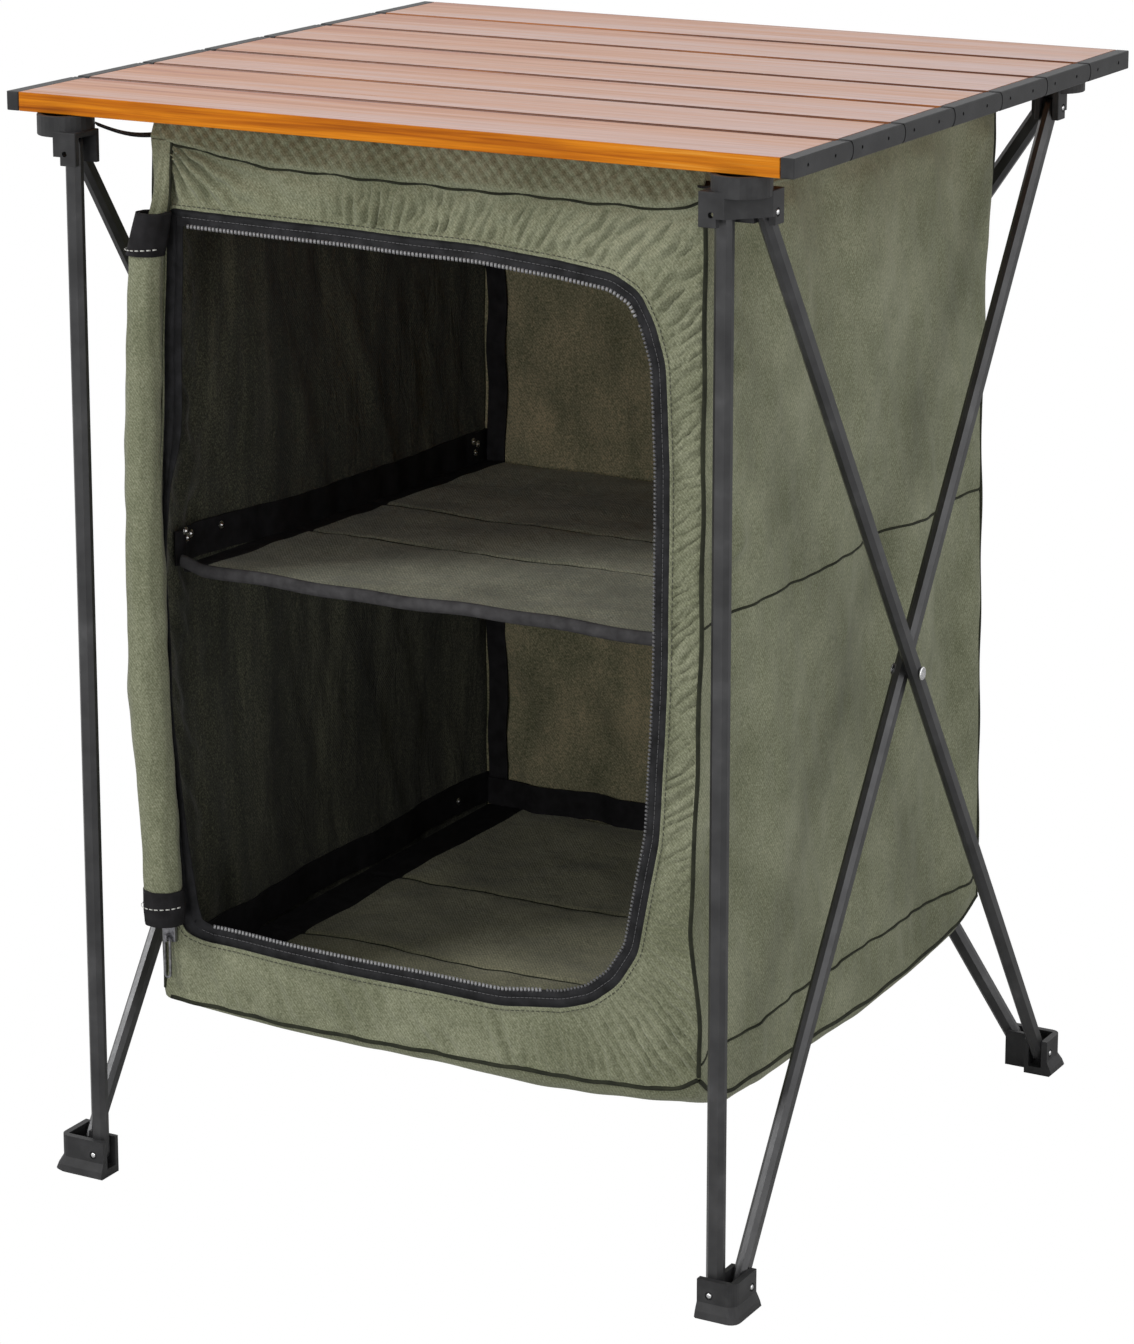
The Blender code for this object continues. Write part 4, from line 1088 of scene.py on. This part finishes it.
def make_roll():
    """The rolled door, its hem at either end, and the stitches in the hem."""
    wound("door_roll_cloth", ROLL_PATH, CANVAS, "door_roll")
    wound("door_hem_top_ring", TOP_RING, WEBBING, "door_hem_top", 0.0075, 93)
    wound("door_hem_bottom_ring", LOW_RING, WEBBING, "door_hem_bottom", seed=95)
    turn = np.linspace(math.radians(178), math.radians(355), 60)
    across, ahead = np.cos(turn), np.sin(turn)
    for name, z, x, radius in HEM_STITCHES:
        path = places(x + radius * across, ROLL_Y + radius * 0.93 * ahead, z + 0.0008 * across)
        stitches(name, path, places(across, ahead, 0.0), HEM_DASH, THREAD)


def make_fold():
    """The canvas beside the door's top end: a folded strip that runs down into the hem's mouth."""
    high, low = 0.6285, 0.5765
    t, u = shares(44)[:, None], np.linspace(-1.0, 1.0, 18)
    middle = -0.1674 + 0.0012 * np.sin(t * 3.0) - 0.0006 * t
    width = 0.0066 - 0.0010 * np.sin(t * math.pi) - 0.0004 * t
    bulge = 0.0030 * (1 - u ** 4) + 0.0008 * np.sin(u * 6 + t * 7)
    y = FRONT - 0.0012 - bulge * (0.6 + 0.4 * t) - 0.0085 * t ** 2.2
    grid = places(middle + width * u, y, high - t * (high - low))
    thing = cloth("canvas_corner_fold", grid, FORWARD)
    finish(thing, CANVAS, FRONT_LEFT, flatten_x, TRIM_ANGLE)
    # A dark cord along the strip's right edge: painted shadow of the fold's crease
    crease = grid[:-6, -1] + np.array([0.0004, -0.0004, 0.0])
    seam_cord("corner_fold_painted_shadow", crease, 0.0009, FRONT_LEFT, flatten_x)


# Zip

# The tape's width down the opening's left side, by height, and elsewhere
LEFT_WIDTH = ((0.150, 0.0140), (0.163, 0.0150), (0.233, 0.0075), (0.293, 0.0036), (0.378, 0.0026),
              (0.427, 0.0056), (0.452, 0.0120), (0.570, 0.0102), (0.590, 0.0100))
TAPE_WIDTH = 0.0100
# How far the tape reaches under the canvas, then its cross section: shares of its width, and heights there
TAPE_UNDER = (-0.0025, -0.0005)
TAPE_SECTION = ((0.08, 0.0), (0.24, 0.0004), (0.42, 0.0005), (0.52, 0.0001), (0.62, 0.0006), (0.84, 0.0007),
                (1.0, 0.0004))
# Rows of teeth: name, share of the tape's width, length, gap, width and lift, material, and where they show
TEETH_ROWS = (("zip_teeth", 1.0, (0.0016, 0.0009, 0.0027, 0.0012), TEETH,
               lambda x, z: x > -0.153 and (z > 0.552 or z < 0.158)),
              # The right upright's teeth take the darker copy of the teeth: painted shade
              ("zip_teeth_upright", 1.0, (0.0014, 0.0010, 0.0020, 0.0010), DULL_TEETH,
               lambda x, z: x > 0 and 0.158 <= z <= 0.552),
              ("zip_line", 0.50, (0.0022, 0.0006, 0.0004, 0.0003), DULL_TEETH, lambda x, z: x > -0.156))
OPENING_DASH = (0.0022, 0.0012, 0.0005, 0.0003)


def runs(kept, count):
    """The unbroken runs of numbers in a closed ring, without the shortest."""
    found, kept = [], set(kept)
    for start in sorted(kept):
        if (start - 1) % count in kept:
            continue
        run = [start]
        while (run[-1] + 1) % count in kept:
            run.append((run[-1] + 1) % count)
        found.append(run)
    return [run for run in found if len(run) > 6]


def make_zip():
    """The zip tape behind the canvas's edge, with its teeth along the inner rim."""
    count = 900
    edge = opening_outline(count)
    turned = inward(edge)
    width = np.where(edge[:, 0] < -0.155, follow(edge[:, 1], LEFT_WIDTH), TAPE_WIDTH)
    width = sum(np.roll(width, step) for step in range(-6, 7)) / 13
    stand = front_edge(edge[:, 0], edge[:, 1])
    depth = FRONT + 0.0014 - stand

    def beside(reach, y):
        """The opening's edge moved inwards by a reach, at a depth."""
        return places(edge[:, 0] + turned[:, 0] * reach, y, edge[:, 1] + turned[:, 1] * reach)

    grid = [beside(reach, depth) for reach in TAPE_UNDER]
    grid += [beside(width * share, depth - rise) for share, rise in TAPE_SECTION]
    tape = cloth("zip_tape_cloth", np.stack(grid), FORWARD, True, TAPE_THICK)
    finish(tape, TAPE_CLOTH, FRONT_LEFT, flatten_x, TAPE_ANGLE)
    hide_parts("zip_tape")
    for name, share, size, material, keep in TEETH_ROWS:
        rim = beside(width * share, depth - 0.0010)
        kept = [k for k in range(count) if keep(rim[k, 0], rim[k, 2])]
        for number, run in enumerate(runs(kept, count), 1):
            stitches(f"{name}_{number}", rim[run], FORWARD, size, material)
    path = beside(-0.0022, FRONT - 0.0016 - stand)
    stitches("opening_stitches", np.vstack([path, path[:1]]), FORWARD, OPENING_DASH, DARK_THREAD)


# Seams, straps and rivets

def make_seams():
    """Dark sewn seams along the walls' edges, and the stitch lines of the lower band and the shelf."""
    x = np.linspace(-HALF + 0.006, HALF - 0.001, 260)
    y = FRONT - 0.0004 + rounded(x)
    wavy = 0.0005 * np.sin(x * 210) + 0.0004 * np.sin(x * 95 + 1)
    path = places(x, y - 0.0002, follow(x, TOP_SEAM) + wavy)
    seam_cord("seam_front_top", path, STITCH_RADIUS, FRONT_LEFT, flatten_x)
    path = places(x, y, follow(x, LOW_SEAM) + wavy * 0.6)
    seam_cord("seam_front_bottom", path, SEAM_RADIUS, FRONT_LEFT, flatten_x)
    y = np.linspace(FRONT + 0.001, BACK - 0.001, 260)
    for word, sign, body in SIDES:
        z = follow(y, SIDE_LOW)
        path = places(sign * (side_x(y, z, sign) + 0.0003), y, z + 0.0004 * np.sin(y * 130))
        seam_cord(f"seam_{word}_bottom", path, SEAM_RADIUS, body, flatten_y)
        path = places(sign * (side_x(y, SIDE_SEAM, sign) + 0.0002), y, SIDE_SEAM + 0.0004 * np.sin(y * 150))
        seam_cord(f"seam_{word}_top", path, TOP_RADIUS, body, flatten_y, CANVAS)
        for table, label in ((BAND_LINE, "band"), (SHELF_LINE, "shelf")):
            z = follow(y, table)
            inside = FRONT + EDGE_ROOM + shares(260) * (rear_y(sign * HALF, z) - FRONT - 2 * EDGE_ROOM)
            path = places(sign * (side_surface(inside, z, sign) + 0.0003), inside, z)
            seam_cord(f"stitch_{word}_{label}", path, STITCH_RADIUS, body, flatten_y)
    x = np.linspace(-HALF + 0.001, HALF - 0.001, 200)
    z = follow(x, BACK_LOW)
    seam_cord("seam_back_bottom", places(x, rear_y(x, z) + 0.0003, z), SEAM_RADIUS, REAR_LEFT, flatten_x)
    for height, label in ((BACK_BAND, "band"), (BACK_SHELF, "shelf")):
        z = height + 0.0004 * np.sin(x * 60)
        path = places(x, back_surface(x, z) + 0.0003, z)
        seam_cord(f"stitch_back_{label}", path, STITCH_RADIUS, REAR_LEFT, flatten_x)
    path = places(x, BACK + 0.0002, SIDE_SEAM + 0.0004 * np.sin(x * 150))
    seam_cord("seam_back_top", path, TOP_RADIUS, REAR_LEFT, flatten_x, CANVAS)


def make_piping():
    """The dark seam down each upright edge."""
    for name, side, end in CORNERS:
        high = float(follow(side * HALF, TOP_SEAM)) if end < 0 else SIDE_SEAM
        low = 0.1245 if name == "front_right" else 0.1135
        z = np.linspace(high, low, 200)
        x = HALF - (follow(z, RIGHT_IN if side > 0 else LEFT_IN) if end < 0 else 0.0) + 0.0002
        x = x + 0.0004 * np.sin(z * 88)
        y = FRONT + 0.0002 + 0.0003 * np.sin(z * 70 + 1) if end < 0 else rear_y(side * HALF, z) - 0.0006
        seam_cord(f"piping_{name}", places(side * x, y, z), SEAM_RADIUS, f"{name}_bracket", None)


def make_straps():
    """Webbing from the cupboard's top corners to the brackets' cups."""
    for name, side, end in CORNERS:
        y = FRONT if end < 0 else BACK
        start = (side * (HALF - 0.008), y - end * 0.008, 0.6300)
        stop = (side * 0.2030, FRAME_Y + end * 0.2030, 0.6365)
        t = shares(16)
        path = np.stack([np.interp(t, (0, 1), pair) for pair in zip(start, stop)], 1)
        path[:, 2] -= 0.0030 * np.sin(t * math.pi)
        wide = Vector((-side * end, 1.0, 0.0)).normalized() * 0.0055
        band(f"strap_{name}", path, tuple(wide), f"{name}_bracket", "top_hem_and_straps")


# How far out the inner and outer bars stand, a foot's own pin, and the face of the moulding beyond its bar
INNER, OUTER, FOOT_PIN = 0.21505, 0.22355, 0.2193
FACE = 0.0043 + 0.0040
# Heights of the brackets' and the feet's pins
BRACKET_PIN, FOOT_LEVEL = 0.6227, 0.0140
# The bar at each corner's side pin, and at each rear corner's back pin: at the bracket, then at the foot
SIDE_BARS = {"front_right": (OUTER, INNER), "rear_right": (INNER, OUTER),
             "front_left": (INNER, OUTER), "rear_left": (OUTER, INNER)}
BACK_BARS = {"rear_right": (OUTER, INNER), "rear_left": (INNER, OUTER)}
DOME_PROFILE = ((0, -0.0007), (0.0014, -0.0007), (0.00165, -0.0003), (0.0015, 0.0001), (0.0011, 0.00035),
                (0.0006, 0.0005), (0, 0.00055))


def add_rivet(name, place, axis, body):
    """A dome on the pin's end, just under the face of the moulding."""
    finish(lathe(name, DOME_PROFILE, place, axis, 20), RIVET, body, angle=TRIM_ANGLE)


def make_rivets():
    """The bright domed ends of the pins, in the counterbores of the brackets and feet."""
    for name, side, end in CORNERS:
        foot = "base" if name == "rear_left" else f"{name}_foot"
        levels = (("bracket", BRACKET_PIN, f"{name}_bracket"), ("foot", FOOT_LEVEL, foot))
        for spot, (word, z, body) in enumerate(levels):
            place = (side * (SIDE_BARS[name][spot] + FACE), FRAME_Y + end * PIN, z)
            add_rivet(f"rivet_{word}_{name}_side", place, (side, 0, 0), body)
            if name in BACK_BARS:
                place = (side * PIN, FRAME_Y + end * (BACK_BARS[name][spot] + FACE), z)
            elif word == "foot":
                place = (side * 0.2075, FRAME_Y + end * (FOOT_PIN + FACE), z)
            else:
                continue
            add_rivet(f"rivet_{word}_{name}_across", place, (0, end, 0), body)


# The frame's own solids

def assign(material, *names):
    for name in names:
        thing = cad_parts[name]
        thing.data.materials.clear()
        thing.data.materials.append(material)


def dress_frame():
    for index in range(1, 8):
        assign(WOOD[index - 1], f"slat_{index}")
        assign(MOULDED, f"end_cap_left_{index}", f"end_cap_right_{index}")
    for name, *_ in CORNERS:
        assign(MOULDED, f"bracket_{name}", f"foot_{name}")
    for side in ("left", "right", "back"):
        assign(TUBE, f"bar_{side}_outer", f"bar_{side}_inner")
        assign(RIVET, f"centre_rivet_{side}")
    assign(TUBE, "strut_front_left", "strut_front_right")
    assign(ZIP_METAL, "zip_slider", "zip_pull")


set_camera()
set_world()
set_floor()
area_light("key", (-1.9, -2.1, 2.4), (0.0, -0.1, 0.45), 0.9, 56.0)
area_light("inner", (0.42, -2.7, 0.90), (-0.05, 0.0, 0.42), 0.6, 15.0)
area_light("side", (3.0, 0.0, 1.5), (0.0, 0.0, 0.35), 3.2, 36.0)
dress_frame()
make_front()
make_front_hem()
for word, sign, body in SIDES:
    make_side(word, sign, body)
make_back()
make_boards()
make_shelf_binding()
make_webbing()
make_snaps()
make_roll()
make_fold()
make_zip()
make_seams()
make_piping()
make_straps()
make_rivets()
